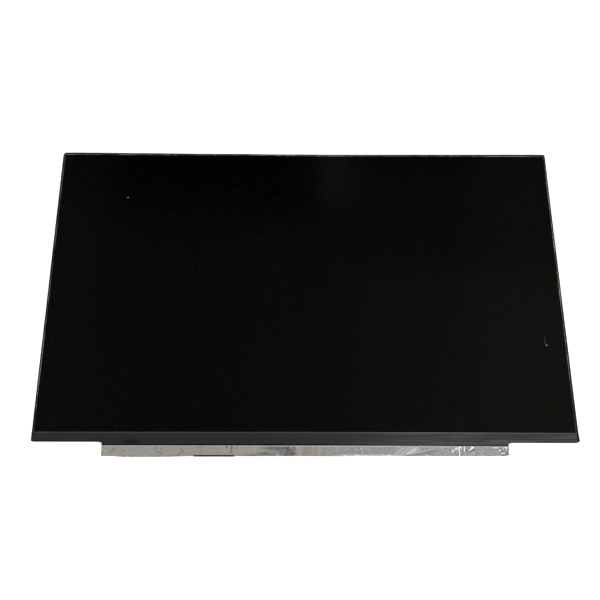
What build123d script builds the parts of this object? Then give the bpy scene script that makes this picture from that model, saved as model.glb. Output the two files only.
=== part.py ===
from build123d import *
import os

# Laptop screen panel: a liquid crystal cell on an edge-lit backlight, with its timing board below it.
# Millimetres. X runs across the screen, Y up it and Z out of it. The origin is the middle of the whole
# outline, on the plane that the back plate lies on. Front is the viewer's side, rear the back plate's.

# Body, measured over the tapes
body_width = 350.66
body_height = 207.0
body_corner = 0.9

# Edge tapes: left, right and top
edge_tape = 0.06
edge_tape_lap = 0.10        # reach onto the glass
edge_tape_stop = 1.5        # bare corner at each end
edge_tape_rear = 0.25       # level of the rear edge

# Bottom cover tape
cover_tape = 0.07
cover_tape_lap = 0.80       # reach onto the front polarizer
cover_tape_ramp = 0.50      # slope from the polarizer down to the glass
cover_tape_gap = 0.20       # to the side tapes
cover_tape_apron = 2.30     # reach over the board, past the body
cover_tape_round = 0.6      # rounding where the apron starts
flap_rear = 0.60            # level of the lower edge of the folded flaps
flap_relief = 1.2           # slit between a flap and the apron

# Liquid crystal cell
glass_clearance = 0.10
glass_thickness = 0.25
glass_corner_cut = 0.7
bonding_ledge = 4.30        # array glass past the colour filter glass
bare_glass = 0.90           # glass margin beside and above the front polarizer
bare_glass_low = 0.60       # glass margin below it
front_polarizer_thickness = 0.17
rear_polarizer_thickness = 0.13
rear_polarizer_margin = 0.35

# Drivers on the bonding ledge, and the flexes to the board
driver_count = 4
driver_pitch = 62.0
driver_length = 28.0
driver_width = 1.10
driver_height = 0.20
flex_width = 38.0
flex_neck = 30.0            # width on the glass
flex_thickness = 0.08
flex_glass_lap = 1.20
flex_driver_gap = 0.50
flex_board_lap = 1.00
flex_slope_run = 0.30       # slope past the board's edge
flex_bend = 0.20
flex_room = 3.0             # low stretch of the frame's wall beside the outer flexes

# Mould frame
frame_wall = 0.50
frame_bottom_wall = 0.55
frame_rear = 0.05           # level of its rear edge
shelf_thickness = 0.26
shelf_reach = 2.05
bottom_shelf_reach = 8.60
window_corner = 0.5
land_gap = 0.30             # between the ledge's support and the rear polarizer
rim_tape = 0.06
rim_tape_setback = 0.25     # from the edge of the shelf and of the polarizer

# Snap hooks of the frame in the walls of the back plate
hook_length = 8.0
hook_depth = 0.25
hook_height = 0.35
hook_rise = 0.45            # above the floor of the plate
hook_clearance = 0.10
hook_pitch = 70.0
side_hook_count = 3
long_hook_count = 5

# Back plate
plate_sheet = 0.30
plate_bend = 0.15           # inside radius of the folds
plate_clearance = 0.04      # to the frame
plate_corner_relief = 1.2
datum_hole = 3.0
datum_slot = 4.5
datum_offset_across = 150.0
datum_offset_down = 84.0

# Backlight films
film_clearance = 0.20
film_headroom = 0.04
film_corner = 1.0
film_setback = 0.80         # films end above the lower edge of the light guide
ear_length = 0.40
ear_width = 9.0
ear_clearance = 0.15
ear_offset = 35.0
reflector_thickness = 0.12
guide_thickness = 0.55
diffuser_thickness = 0.11
prism_thickness = 0.13

# Light bar
led_pitch = 7.6
led_end = 3.0               # at least this much bar past the outer diodes
led_length = 3.8
led_back_length = 3.0
led_depth = 0.9
led_height = 0.50
led_gap = 0.05
bar_thickness = 0.08
bar_height = 2.4
bar_clearance = 0.20
bar_end = 2.0
tail_inset = 24.0           # from the board's right end to the middle of the tail
tail_width = 14.0
tail_clearance = 0.5
tail_drop = 1.2             # below the board's upper edge, where the tail reaches the board
tail_lap = 1.4
tail_bend = 0.35

# Timing board and its foil
board_width = 260.0
board_height = 8.10
board_thickness = 0.50
board_corner = 0.6
board_gap = 0.35            # to the body
board_drop = 0.33           # front of the board behind the front of the array glass
foil_thickness = 0.08
foil_overhang = 0.25
foil_side = 0.12
foil_gap = 0.10             # to the flexes

# Signal socket
contact_count = 40
contact_pitch = 0.50
contact_width = 0.20
contact_sheet = 0.10
contact_setback = 0.50      # from the mouth
contact_gap = 0.10          # behind the insulator
contact_tail = 0.80
socket_centre = -58.5
socket_lip = 0.70           # past the board's lower edge
socket_height = 1.10
insulator_depth = 3.40
insulator_end = 3.20        # past the outer contacts
insulator_rear_wall = 0.22
mouth_depth = 2.30
mouth_height = 0.40
mouth_end = 0.80            # past the outer contacts
shell_sheet = 0.12
shell_depth = 2.60
shell_setback = 0.40
shell_fit = 0.03

# Packages on the rear of the board
package_bevel = 0.08
controller_size = 6.4
controller_height = 0.80
power_size = 5.0
backlight_size = 4.0
gamma_size = 4.0
flat_package_height = 0.75
memory_length = 3.0
memory_width = 3.4
memory_height = 0.90
memory_lift = 0.10          # body off the board
lead_count = 4              # on each side
lead_pitch = 0.65
lead_width = 0.25
lead_sheet = 0.12
lead_reach = 0.80
lead_foot = 0.40
inductor_size = 4.0
inductor_height = 1.00
inductor_corner = 0.9
diode_length = 2.6
diode_width = 1.6
diode_height = 0.95
diode_lead = 0.45
diode_lead_width = 0.9
diode_lead_sheet = 0.15
bulk_length = 2.0
bulk_width = 1.25
bulk_height = 0.85
small_length = 1.0
small_width = 0.50
small_height = 0.50
resistor_height = 0.35
part_gap = 0.55

# Places on the rear of the board
row_margin = 1.6            # from the board's edge to a row of chip parts
section_gap = 2.2           # between neighbouring parts of a section
controller_place = -18.0    # from the middle of the board
end_row_inset = 13.0        # from the board's left end
backlight_inset = 46.0      # from the board's right end

# Levels, from the resting plane to the viewer
plate_front = plate_sheet
reflector_front = plate_front + reflector_thickness
guide_front = reflector_front + guide_thickness
diffuser_front = guide_front + diffuser_thickness
lower_prism_front = diffuser_front + prism_thickness
upper_prism_front = lower_prism_front + prism_thickness
shelf_rear = upper_prism_front + film_headroom
shelf_front = shelf_rear + shelf_thickness
rim_front = shelf_front + rim_tape
rear_polarizer_front = rim_front + rear_polarizer_thickness
array_front = rear_polarizer_front + glass_thickness
filter_front = array_front + glass_thickness
screen_front = filter_front + front_polarizer_thickness
board_front = array_front - board_drop
board_rear = board_front - board_thickness
socket_rear = board_rear - socket_height
insulator_rear = socket_rear + shell_sheet
mouth_front = insulator_rear + insulator_rear_wall + mouth_height

# Lines down the screen
outline_height = body_height + board_gap + board_height + socket_lip
body_high = outline_height / 2
body_low = body_high - body_height
body_middle = (body_high + body_low) / 2
board_high = body_low - board_gap
board_low = board_high - board_height
socket_front = board_low - socket_lip
flex_end = board_high - flex_board_lap
upper_row = board_high - row_margin
middle_row = (board_high + board_low) / 2
lower_row = board_low + row_margin


class Area:
    # A rectangle in the plane of the screen, by its four edges.
    def __init__(self, left, right, low, high):
        self.left = left
        self.right = right
        self.low = low
        self.high = high

    def inset(self, side, low, high):
        return Area(self.left + side, self.right - side, self.low + low, self.high - high)

    def place(self, level):
        return Pos((self.left + self.right) / 2, (self.low + self.high) / 2, level)

    def rectangle(self):
        return Rectangle(self.right - self.left, self.high - self.low)


body = Area(-body_width / 2, body_width / 2, body_low, body_high)
frame_outside = body.inset(edge_tape, cover_tape, edge_tape)
frame_inside = frame_outside.inset(frame_wall, frame_bottom_wall, frame_wall)
window = frame_inside.inset(shelf_reach, bottom_shelf_reach, shelf_reach)
array_area = frame_inside.inset(glass_clearance, glass_clearance, glass_clearance)
filter_area = array_area.inset(0, bonding_ledge, 0)
screen_area = filter_area.inset(bare_glass, bare_glass_low, bare_glass)
rear_polarizer_area = filter_area.inset(rear_polarizer_margin, bare_glass_low, rear_polarizer_margin)
plate_outside = frame_inside.inset(plate_clearance, plate_clearance, plate_clearance)
plate_inside = plate_outside.inset(plate_sheet, plate_sheet, plate_sheet)
bar_area = Area(
    plate_inside.left + bar_end,
    plate_inside.right - bar_end,
    plate_inside.low + bar_clearance,
    plate_inside.low + bar_clearance + bar_height,
)
guide_area = Area(
    plate_inside.left + film_clearance,
    plate_inside.right - film_clearance,
    bar_area.high + led_gap,
    plate_inside.high - film_clearance,
)
film_area = guide_area.inset(0, film_setback, 0)
board_area = Area(-board_width / 2, board_width / 2, board_low, board_high)
edge_lip = edge_tape + frame_wall + glass_clearance + edge_tape_lap
cover_area = Area(
    body.left + edge_lip + cover_tape_gap,
    body.right - edge_lip - cover_tape_gap,
    body_low,
    screen_area.low + cover_tape_lap,
)
apron_half = board_width / 2 + foil_side
tail_centre = board_area.right - tail_inset
tail_gap_left = tail_centre - tail_width / 2 - tail_clearance
tail_gap_right = tail_centre + tail_width / 2 + tail_clearance
contact_span = (contact_count - 1) * contact_pitch
insulator_half = contact_span / 2 + insulator_end
shell_half = insulator_half + shell_fit + shell_sheet
diode_span = diode_length + 2 * diode_lead


def spread(count, pitch, centre=0.0):
    return [centre + (index - (count - 1) / 2) * pitch for index in range(count)]


def sheet(area, base, thickness, corner=0.0):
    outline = area.rectangle()
    if corner:
        outline = fillet(outline.vertices(), corner)
    return area.place(base) * extrude(outline, thickness)


def block(left, right, low, high, rear, front):
    return sheet(Area(left, right, low, high), rear, front - rear)


def group(solids):
    return Compound(children=list(solids))


def profile_along_x(outline, left, right):
    return Pos(left, 0, 0) * extrude(Plane.YZ * outline, right - left, dir=(1, 0, 0))


def strip_along_x(line, thickness, left, right):
    return profile_along_x(trace(line, thickness), left, right)


def front_polarizer():
    return sheet(screen_area, filter_front, front_polarizer_thickness, film_corner / 2)


def cell_glass(area, base):
    outline = area.rectangle()
    outline = chamfer(outline.vertices(), glass_corner_cut)
    return area.place(base) * extrude(outline, glass_thickness)


def colour_filter_glass():
    return cell_glass(filter_area, array_front)


def array_glass():
    return cell_glass(array_area, rear_polarizer_front)


def rear_polarizer():
    return sheet(rear_polarizer_area, rim_front, rear_polarizer_thickness, film_corner / 2)


def rim_tape_ring():
    outer = rear_polarizer_area.inset(rim_tape_setback, rim_tape_setback, rim_tape_setback)
    inner = window.inset(-rim_tape_setback, -rim_tape_setback, -rim_tape_setback)
    return sheet(outer, shelf_front, rim_tape) - sheet(inner, shelf_front, rim_tape)


def driver_chips():
    half = driver_length / 2
    low = array_area.low + flex_glass_lap + flex_driver_gap
    chip = sheet(Area(-half, half, low, low + driver_width), array_front, driver_height)
    return group(Pos(x, 0, 0) * chip for x in spread(driver_count, driver_pitch))


def driver_flexes():
    middle = flex_thickness / 2
    line = FilletPolyline(
        (array_area.low + flex_glass_lap, array_front + middle),
        (body_low, array_front + middle),
        (board_high - flex_slope_run, board_front + middle),
        (flex_end, board_front + middle),
        radius=flex_bend,
    )
    flex = strip_along_x(line, flex_thickness, -flex_width / 2, flex_width / 2)
    shoulder = flex_width / 2 - flex_neck / 2
    for left in (-flex_width / 2, flex_neck / 2):
        flex -= block(left, left + shoulder, array_area.low, array_area.high, board_rear, screen_front)
    return group(Pos(x, 0, 0) * flex for x in spread(driver_count, driver_pitch))


def ear_areas(edge):
    # Locating ears of the films: one on the left, one on the right and one on top.
    half = ear_width / 2
    left_ear = body_middle + ear_offset
    right_ear = body_middle - ear_offset
    return [
        Area(edge.left - ear_length, edge.left, left_ear - half, left_ear + half),
        Area(edge.right, edge.right + ear_length, right_ear - half, right_ear + half),
        Area(ear_offset - half, ear_offset + half, edge.high, edge.high + ear_length),
    ]


def film(area, base, thickness):
    blank = sheet(area, base, thickness, film_corner)
    for ear in ear_areas(area):
        blank += sheet(ear, base, thickness)
    return blank


def upper_prism_sheet():
    return film(film_area, lower_prism_front, prism_thickness)


def lower_prism_sheet():
    return film(film_area, diffuser_front, prism_thickness)


def diffuser_sheet():
    return film(film_area, guide_front, diffuser_thickness)


def light_guide():
    return film(guide_area, reflector_front, guide_thickness)


def reflector_sheet():
    return film(guide_area, plate_front, reflector_thickness)


def light_bar():
    middle = bar_thickness / 2
    line = FilletPolyline(
        (bar_area.low, plate_front + middle),
        (body_low, plate_front + middle),
        (board_high - tail_drop, board_rear - middle),
        (board_high - tail_drop - tail_lap, board_rear - middle),
        radius=tail_bend,
    )
    strip = sheet(bar_area, plate_front, bar_thickness)
    tail_left = tail_centre - tail_width / 2
    return strip + strip_along_x(line, bar_thickness, tail_left, tail_left + tail_width)


def leds():
    front = led_length / 2
    back = led_back_length / 2
    high = bar_area.high
    low = high - led_depth
    outline = Polygon((-back, low), (back, low), (front, high), (-front, high), align=None)
    led = Pos(0, 0, plate_front + bar_thickness) * extrude(outline, led_height)
    room = bar_area.right - bar_area.left - 2 * led_end - led_length
    return group(Pos(x, 0, 0) * led for x in spread(int(room / led_pitch) + 1, led_pitch))


def hook_rows(depth, growth):
    # Hooks stand inwards from the frame's walls; growth widens them into the windows of the back plate.
    half = hook_length / 2 + growth
    rear = plate_front + hook_rise - growth
    front = plate_front + hook_rise + hook_height + growth
    edge = frame_inside
    for y in spread(side_hook_count, hook_pitch, body_middle):
        yield block(edge.left, edge.left + depth, y - half, y + half, rear, front)
        yield block(edge.right - depth, edge.right, y - half, y + half, rear, front)
    for x in spread(long_hook_count, hook_pitch):
        yield block(x - half, x + half, edge.high - depth, edge.high, rear, front)
        yield block(x - half, x + half, edge.low, edge.low + depth, rear, front)


def mould_frame():
    ring = sheet(frame_outside, frame_rear, filter_front - frame_rear, body_corner)
    ring -= sheet(frame_inside, 0, shelf_rear)
    ring -= sheet(frame_inside, shelf_front, filter_front)
    ring -= sheet(window, shelf_rear, shelf_thickness, window_corner)
    land = Area(array_area.left, array_area.right, frame_inside.low, rear_polarizer_area.low - land_gap)
    ring += sheet(land, shelf_front, rear_polarizer_front - shelf_front)
    for hook in hook_rows(hook_depth, 0.0):
        ring += hook
    flex_reach = ((driver_count - 1) * driver_pitch + flex_width) / 2 + flex_room
    ring -= block(-flex_reach, flex_reach, body_low, frame_inside.low, array_front, screen_front)
    tail_front = plate_front + bar_thickness + tail_clearance
    ring -= block(tail_gap_left, tail_gap_right, body_low, frame_inside.low, 0, tail_front)
    return ring


def back_plate():
    tray = sheet(plate_outside, 0, shelf_rear)
    tray = fillet(tray.edges().group_by(Axis.Z)[0], plate_bend + plate_sheet)
    room = sheet(plate_inside, plate_front, shelf_rear)
    tray -= fillet(room.edges().group_by(Axis.Z)[0], plate_bend)
    edge = plate_outside
    relief = plate_corner_relief
    for x in (edge.left, edge.right - relief):
        for y in (edge.low, edge.high - relief):
            tray -= block(x, x + relief, y, y + relief, 0, shelf_rear)
    for opening in hook_rows(plate_clearance + plate_sheet, hook_clearance):
        tray -= opening
    reach = plate_sheet + film_clearance
    left_ear, right_ear, top_ear = ear_areas(plate_inside.inset(film_clearance, 0, film_clearance))
    for ear in (left_ear, right_ear):
        tray -= sheet(ear.inset(-reach, -ear_clearance, -ear_clearance), plate_front, shelf_rear)
    tray -= sheet(top_ear.inset(-ear_clearance, 0, -reach), plate_front, shelf_rear)
    wall_inside = plate_inside.low + plate_bend
    tray -= block(tail_gap_left, tail_gap_right, edge.low, wall_inside, plate_front, shelf_rear)
    hole = extrude(Circle(datum_hole / 2), plate_sheet)
    slot = extrude(SlotOverall(datum_slot, datum_hole), plate_sheet)
    tray -= Pos(-datum_offset_across, body_middle + datum_offset_down, 0) * hole
    tray -= Pos(datum_offset_across, body_middle + datum_offset_down, 0) * slot
    return tray


def edge_tape_outline(height):
    # L section with its outer corner on the origin: the lip runs to +X, the wall runs down.
    lip = Pos(edge_lip / 2, -edge_tape / 2) * Rectangle(edge_lip, edge_tape)
    wall = Pos(edge_tape / 2, -height / 2) * Rectangle(edge_tape, height)
    outline = lip + wall
    return fillet(outline.vertices().sort_by_distance((0, 0, 0))[0], edge_tape * 0.9)


def side_tape():
    front = filter_front + edge_tape
    low = frame_outside.low + body_corner
    high = body_high - edge_tape_stop
    outline = edge_tape_outline(front - edge_tape_rear)
    return Pos(0, high, front) * extrude(Plane.XZ * outline, high - low)


def left_edge_tape():
    return Pos(body.left, 0, 0) * side_tape()


def right_edge_tape():
    return Pos(body.right, 0, 0) * mirror(side_tape(), Plane.YZ)


def top_edge_tape():
    front = filter_front + edge_tape
    length = body_width - 2 * edge_tape_stop
    outline = mirror(edge_tape_outline(front - edge_tape_rear), Plane.YZ)
    return Pos(-length / 2, body_high, front) * extrude(Plane.YZ * outline, length)


def bottom_cover_tape():
    area = cover_area
    ramp_low = screen_area.low - cover_tape_ramp
    flat = Area(area.left, area.right, body_low, ramp_low)
    apron = Area(-apron_half, apron_half, body_low - cover_tape_apron, ramp_low)
    outline = flat.place(0) * flat.rectangle() + apron.place(0) * apron.rectangle()
    on_edge = outline.vertices().filter_by_position(Axis.Y, body_low - cover_tape, body_low + cover_tape)
    outline = fillet(on_edge.sort_by(Axis.X)[1:3], cover_tape_round)
    tape = Pos(0, 0, filter_front) * extrude(outline, cover_tape)
    ramp = Polygon(
        (area.high, screen_front),
        (screen_area.low, screen_front),
        (ramp_low, filter_front),
        (ramp_low, filter_front + cover_tape),
        (screen_area.low, screen_front + cover_tape),
        (area.high, screen_front + cover_tape),
        align=None,
    )
    tape += profile_along_x(ramp, area.left, area.right)
    for left, right in ((area.left, -apron_half - flap_relief), (apron_half + flap_relief, area.right)):
        tape += block(left, right, body_low, frame_outside.low, flap_rear, filter_front)
    return tape


def timing_board():
    return sheet(board_area, board_rear, board_thickness, board_corner)


def board_foil():
    area = Area(-apron_half, apron_half, board_low - foil_overhang, flex_end - foil_gap)
    return sheet(area, board_front, foil_thickness, board_corner)


def bent_lead(start, knee, end, waist, thickness):
    # Side view of a bent lead: it leaves its case at the waist and turns to the board at the knee.
    return Polygon(
        (start, waist),
        (knee + thickness, waist),
        (knee + thickness, board_rear - thickness),
        (end, board_rear - thickness),
        (end, board_rear),
        (knee, board_rear),
        (knee, waist + thickness),
        (start, waist + thickness),
        align=None,
    )


def signal_contacts():
    insulator_back = socket_front + insulator_depth
    outline = bent_lead(
        socket_front + contact_setback,
        insulator_back + contact_gap,
        insulator_back + contact_tail,
        mouth_front - contact_sheet,
        contact_sheet,
    )
    contact = profile_along_x(outline, -contact_width / 2, contact_width / 2)
    return group(Pos(x, 0, 0) * contact for x in spread(contact_count, contact_pitch, socket_centre))


def socket_block(half, low, high, rear, front):
    return block(socket_centre - half, socket_centre + half, low, high, rear, front)


def signal_insulator():
    mouth_half = contact_span / 2 + mouth_end
    mouth_back = socket_front + mouth_depth
    back = socket_front + insulator_depth
    bar = socket_block(insulator_half, socket_front, back, insulator_rear, board_rear)
    mouth = socket_block(mouth_half, socket_front, mouth_back, mouth_front - mouth_height, mouth_front)
    return bar - mouth - signal_contacts().solids()


def signal_shell():
    low = socket_front + shell_setback
    high = low + shell_depth
    room = socket_block(insulator_half + shell_fit, low, high, insulator_rear, board_rear)
    return socket_block(shell_half, low, high, socket_rear, board_rear) - room


def on_board(outline, height):
    # A part soldered to the rear of the board.
    return Pos(0, 0, board_rear - height) * extrude(outline, height)


def bevelled(package):
    return chamfer(package.edges().group_by(Axis.Z)[0], package_bevel)


def flat_package(place, size, height):
    return Pos(place, middle_row, 0) * bevelled(on_board(Rectangle(size, size), height))


def bulk_span(count):
    return count * bulk_width + (count - 1) * part_gap


def small_span(count):
    return count * small_width + (count - 1) * part_gap


def after(place, size, next_size):
    return place + size / 2 + section_gap + next_size / 2


def before(place, size, next_size):
    return place - size / 2 - section_gap - next_size / 2


# Left section: gamma chip between rows
end_row = board_area.left + end_row_inset
gamma_row = after(end_row, small_span(6), small_span(3))
gamma_place = after(gamma_row, small_span(3), gamma_size)
gamma_far_row = after(gamma_place, gamma_size, small_span(4))

# Signal section: rows above the socket
lane_row = before(socket_centre, 0, small_span(10))
pull_row = after(socket_centre, 0, small_span(8))
inlet_row = after(socket_centre, 2 * shell_half, bulk_span(3))

# Middle section: controller, memory and power supply, from left to right
controller_row = before(controller_place, controller_size, small_span(3))
strap_row = before(controller_row, small_span(3), small_span(6))
clock_row = after(controller_place, controller_size, small_span(3))
memory_place = after(clock_row, small_span(3), memory_length)
memory_row = after(memory_place, memory_length, small_span(8))
power_row = after(memory_row, small_span(8), small_span(2))
power_place = after(power_row, small_span(2), power_size)
power_bulk = after(power_place, power_size, bulk_span(1))
first_inductor = after(power_bulk, bulk_span(1), inductor_size)
middle_bulk = after(first_inductor, inductor_size, bulk_span(2))
second_inductor = after(middle_bulk, bulk_span(2), inductor_size)
power_diode = after(second_inductor, inductor_size, diode_span)
outlet_bulk = after(power_diode, diode_span, bulk_span(2))

# Right section: backlight supply beside the tail of the light bar
backlight_place = board_area.right - backlight_inset
backlight_row = before(backlight_place, backlight_size, small_span(5))
backlight_inductor = after(backlight_place, backlight_size, inductor_size)
backlight_diode = after(backlight_inductor, inductor_size, diode_span)
backlight_bulk = after(backlight_diode, diode_span, bulk_span(3))
return_row = after(backlight_bulk, bulk_span(3), small_span(6))


def timing_controller():
    return flat_package(controller_place, controller_size, controller_height)


def power_chip():
    return flat_package(power_place, power_size, flat_package_height)


def backlight_driver():
    return flat_package(backlight_place, backlight_size, flat_package_height)


def gamma_chip():
    return flat_package(gamma_place, gamma_size, flat_package_height)


def memory_chip():
    case = bevelled(on_board(Rectangle(memory_length, memory_width), memory_height - memory_lift))
    case = Pos(0, 0, -memory_lift) * case
    waist = board_rear - (memory_height + memory_lift + lead_sheet) / 2
    end = memory_width / 2 + lead_reach
    outline = bent_lead(memory_width / 2 - lead_foot, end - lead_foot, end, waist, lead_sheet)
    lead = profile_along_x(outline, -lead_width / 2, lead_width / 2)
    for x in spread(lead_count, lead_pitch):
        case += Pos(x, 0, 0) * lead
        case += Pos(x, 0, 0) * mirror(lead, Plane.XZ)
    return Pos(memory_place, middle_row, 0) * case


def power_inductors():
    outline = RectangleRounded(inductor_size, inductor_size, inductor_corner)
    coil = bevelled(on_board(outline, inductor_height))
    places = (first_inductor, second_inductor, backlight_inductor)
    return group(Pos(x, middle_row, 0) * coil for x in places)


def rectifier_diodes():
    case = bevelled(on_board(Rectangle(diode_length, diode_width), diode_height))
    diode = case + on_board(Rectangle(diode_span, diode_lead_width), diode_lead_sheet)
    return group(Pos(x, middle_row, 0) * diode for x in (power_diode, backlight_diode))


def part_rows(length, width, height, rows):
    # Rows of upright chip parts, each row by its middle, its line and its number of parts.
    part = on_board(Rectangle(width, length), height)
    places = [(x, row) for centre, row, count in rows for x in spread(count, width + part_gap, centre)]
    return group(Pos(x, y, 0) * part for x, y in places)


def bulk_capacitors():
    rows = (
        (inlet_row, upper_row, 3),
        (power_bulk, upper_row, 1),
        (power_bulk, lower_row, 1),
        (middle_bulk, upper_row, 2),
        (middle_bulk, lower_row, 2),
        (outlet_bulk, middle_row, 2),
        (backlight_bulk, lower_row, 3),
    )
    return part_rows(bulk_length, bulk_width, bulk_height, rows)


def small_capacitors():
    rows = (
        (end_row, upper_row, 5),
        (gamma_row, upper_row, 3),
        (gamma_far_row, upper_row, 4),
        (lane_row, upper_row, 10),
        (controller_row, upper_row, 3),
        (controller_row, lower_row, 3),
        (clock_row, upper_row, 3),
        (clock_row, lower_row, 3),
        (power_row, upper_row, 2),
        (backlight_row, upper_row, 5),
        (return_row, lower_row, 6),
    )
    return part_rows(small_length, small_width, small_height, rows)


def chip_resistors():
    rows = (
        (end_row, lower_row, 6),
        (gamma_row, lower_row, 3),
        (gamma_far_row, lower_row, 4),
        (pull_row, upper_row, 8),
        (strap_row, upper_row, 6),
        (strap_row, lower_row, 6),
        (memory_row, upper_row, 8),
        (memory_row, lower_row, 8),
        (power_row, lower_row, 2),
        (backlight_row, lower_row, 5),
    )
    return part_rows(small_length, small_width, resistor_height, rows)


pieces = {
    "front_polarizer": front_polarizer,
    "colour_filter_glass": colour_filter_glass,
    "array_glass": array_glass,
    "rear_polarizer": rear_polarizer,
    "rim_tape": rim_tape_ring,
    "driver_chips": driver_chips,
    "driver_flexes": driver_flexes,
    "upper_prism_sheet": upper_prism_sheet,
    "lower_prism_sheet": lower_prism_sheet,
    "diffuser_sheet": diffuser_sheet,
    "light_guide": light_guide,
    "reflector_sheet": reflector_sheet,
    "light_bar_flex": light_bar,
    "light_bar_leds": leds,
    "mould_frame": mould_frame,
    "back_plate": back_plate,
    "left_edge_tape": left_edge_tape,
    "right_edge_tape": right_edge_tape,
    "top_edge_tape": top_edge_tape,
    "bottom_cover_tape": bottom_cover_tape,
    "timing_board": timing_board,
    "board_foil": board_foil,
    "signal_contacts": signal_contacts,
    "signal_insulator": signal_insulator,
    "signal_shell": signal_shell,
    "timing_controller": timing_controller,
    "power_chip": power_chip,
    "backlight_driver": backlight_driver,
    "gamma_chip": gamma_chip,
    "memory_chip": memory_chip,
    "power_inductors": power_inductors,
    "rectifier_diodes": rectifier_diodes,
    "bulk_capacitors": bulk_capacitors,
    "small_capacitors": small_capacitors,
    "chip_resistors": chip_resistors,
}

os.makedirs("parts", exist_ok=True)
for name, make in pieces.items():
    export_step(make(), f"parts/{name}.step")
    print("wrote", name)
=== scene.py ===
import math
import random

import bmesh
import bpy
from mathutils import Euler, Matrix, Vector, noise


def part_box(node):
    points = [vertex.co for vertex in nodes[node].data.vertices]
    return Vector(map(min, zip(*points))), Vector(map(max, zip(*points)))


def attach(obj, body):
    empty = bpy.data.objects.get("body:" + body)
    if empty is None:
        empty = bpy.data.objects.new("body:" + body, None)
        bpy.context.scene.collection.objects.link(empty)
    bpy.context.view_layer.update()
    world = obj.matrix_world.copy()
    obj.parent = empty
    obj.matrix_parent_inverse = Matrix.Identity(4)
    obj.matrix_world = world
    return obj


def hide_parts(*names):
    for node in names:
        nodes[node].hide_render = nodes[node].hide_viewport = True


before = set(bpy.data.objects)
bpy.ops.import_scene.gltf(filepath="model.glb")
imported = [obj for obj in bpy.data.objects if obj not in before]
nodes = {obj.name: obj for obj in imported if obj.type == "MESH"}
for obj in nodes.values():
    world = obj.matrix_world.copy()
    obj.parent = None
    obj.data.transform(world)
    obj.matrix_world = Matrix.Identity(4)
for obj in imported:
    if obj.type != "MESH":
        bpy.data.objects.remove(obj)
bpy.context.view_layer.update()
mm = 0.001
print("panel: loaded", len(nodes), "nodes")


class Sock:
    # one output socket, with Math nodes behind the operators
    def __init__(self, tree, out):
        self.tree = tree
        self.out = out

    def node(self, kind, settings, sockets, pick=0):
        made = self.tree.nodes.new(kind)
        for key, value in settings.items():
            setattr(made, key, value)
        for key, value in sockets.items():
            if isinstance(value, Sock):
                self.tree.links.new(value.out, made.inputs[key])
            else:
                made.inputs[key].default_value = value
        return Sock(self.tree, made.outputs[pick])

    def maths(self, operation, first, second=0.0):
        return self.node("ShaderNodeMath", {"operation": operation}, {0: first, 1: second})

    def __add__(self, other):
        return self.maths("ADD", self, other)

    def __sub__(self, other):
        return self.maths("SUBTRACT", self, other)

    def __rsub__(self, other):
        return self.maths("SUBTRACT", other, self)

    def __mul__(self, other):
        return self.maths("MULTIPLY", self, other)

    def __abs__(self):
        return self.maths("ABSOLUTE", self)

    __radd__, __rmul__ = __add__, __mul__


def along(place, axis):
    return place.node("ShaderNodeSeparateXYZ", {}, {0: place}, axis)


def rise(value, low, high):  # 0 below low, 1 above high
    ends = {"Value": value, "From Min": low, "From Max": high}
    return value.node("ShaderNodeMapRange", {"interpolation_type": "SMOOTHSTEP"}, ends)


def fall(value, low, high):
    return 1.0 - rise(value, low, high)


def band(value, low, high, soft):
    return rise(value, low - soft, low + soft) * fall(value, high - soft, high + soft)


def spot(place, centre, radius):
    away = place.node("ShaderNodeVectorMath", {"operation": "DISTANCE"}, {0: place, 1: centre}, "Value")
    return fall(away, 0.0, radius)


def blot(place, middleX, middleY, halfX, halfY):  # soft oval patch, seen from above
    flat = squeezed(place, (1.0 / halfX, 1.0 / halfY, 0.0))
    return spot(flat, (middleX / halfX, middleY / halfY, 0.0), 1.0)


def wobbled(place, scale, amount):  # places pushed about by noise
    push = place.node("ShaderNodeTexNoise", {}, {"Vector": place, "Scale": scale, "Detail": 3.0}, "Color")
    push = place.node("ShaderNodeVectorMath", {"operation": "SUBTRACT"}, {0: push, 1: (0.5, 0.5, 0.5)})
    return place.node("ShaderNodeVectorMath", {"operation": "MULTIPLY_ADD"},
                      {0: push, 1: (amount, amount, amount), 2: place})


def squeezed(place, scale, turn=(0.0, 0.0, 0.0)):
    return place.node("ShaderNodeMapping", {}, {"Vector": place, "Scale": scale, "Rotation": turn})


def speckle(place, scale, detail=2.0, rough=0.5):
    sockets = {"Vector": place, "Scale": scale, "Detail": detail, "Roughness": rough}
    return place.node("ShaderNodeTexNoise", {}, sockets)


def cells(place, scale, feature="F1", pick="Distance"):
    return place.node("ShaderNodeTexVoronoi", {"feature": feature}, {"Vector": place, "Scale": scale}, pick)


def grey(colour):
    return colour.node("ShaderNodeRGBToBW", {}, {0: colour})


def stripes(place, axis, scale, bends=None):
    sockets = {"Vector": place, "Scale": scale, **(bends or {})}
    return grey(place.node("ShaderNodeTexWave", {"bands_direction": axis}, sockets))


def opaque(colour):
    return colour if isinstance(colour, Sock) else (*colour, 1.0)


def mixColours(factor, first, second):
    sockets = {0: factor, 6: opaque(first), 7: opaque(second)}
    return factor.node("ShaderNodeMix", {"data_type": "RGBA"}, sockets, 2)


def layers(base, *coats):  # each coat is a mask and the colour that shows there
    for mask, colour in coats:
        base = mixColours(mask, base, colour)
    return base


def relief(height, strength, depth):  # depth in millimetres
    return height.node("ShaderNodeBump", {}, {"Strength": strength, "Distance": depth * mm, "Height": height})


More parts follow.
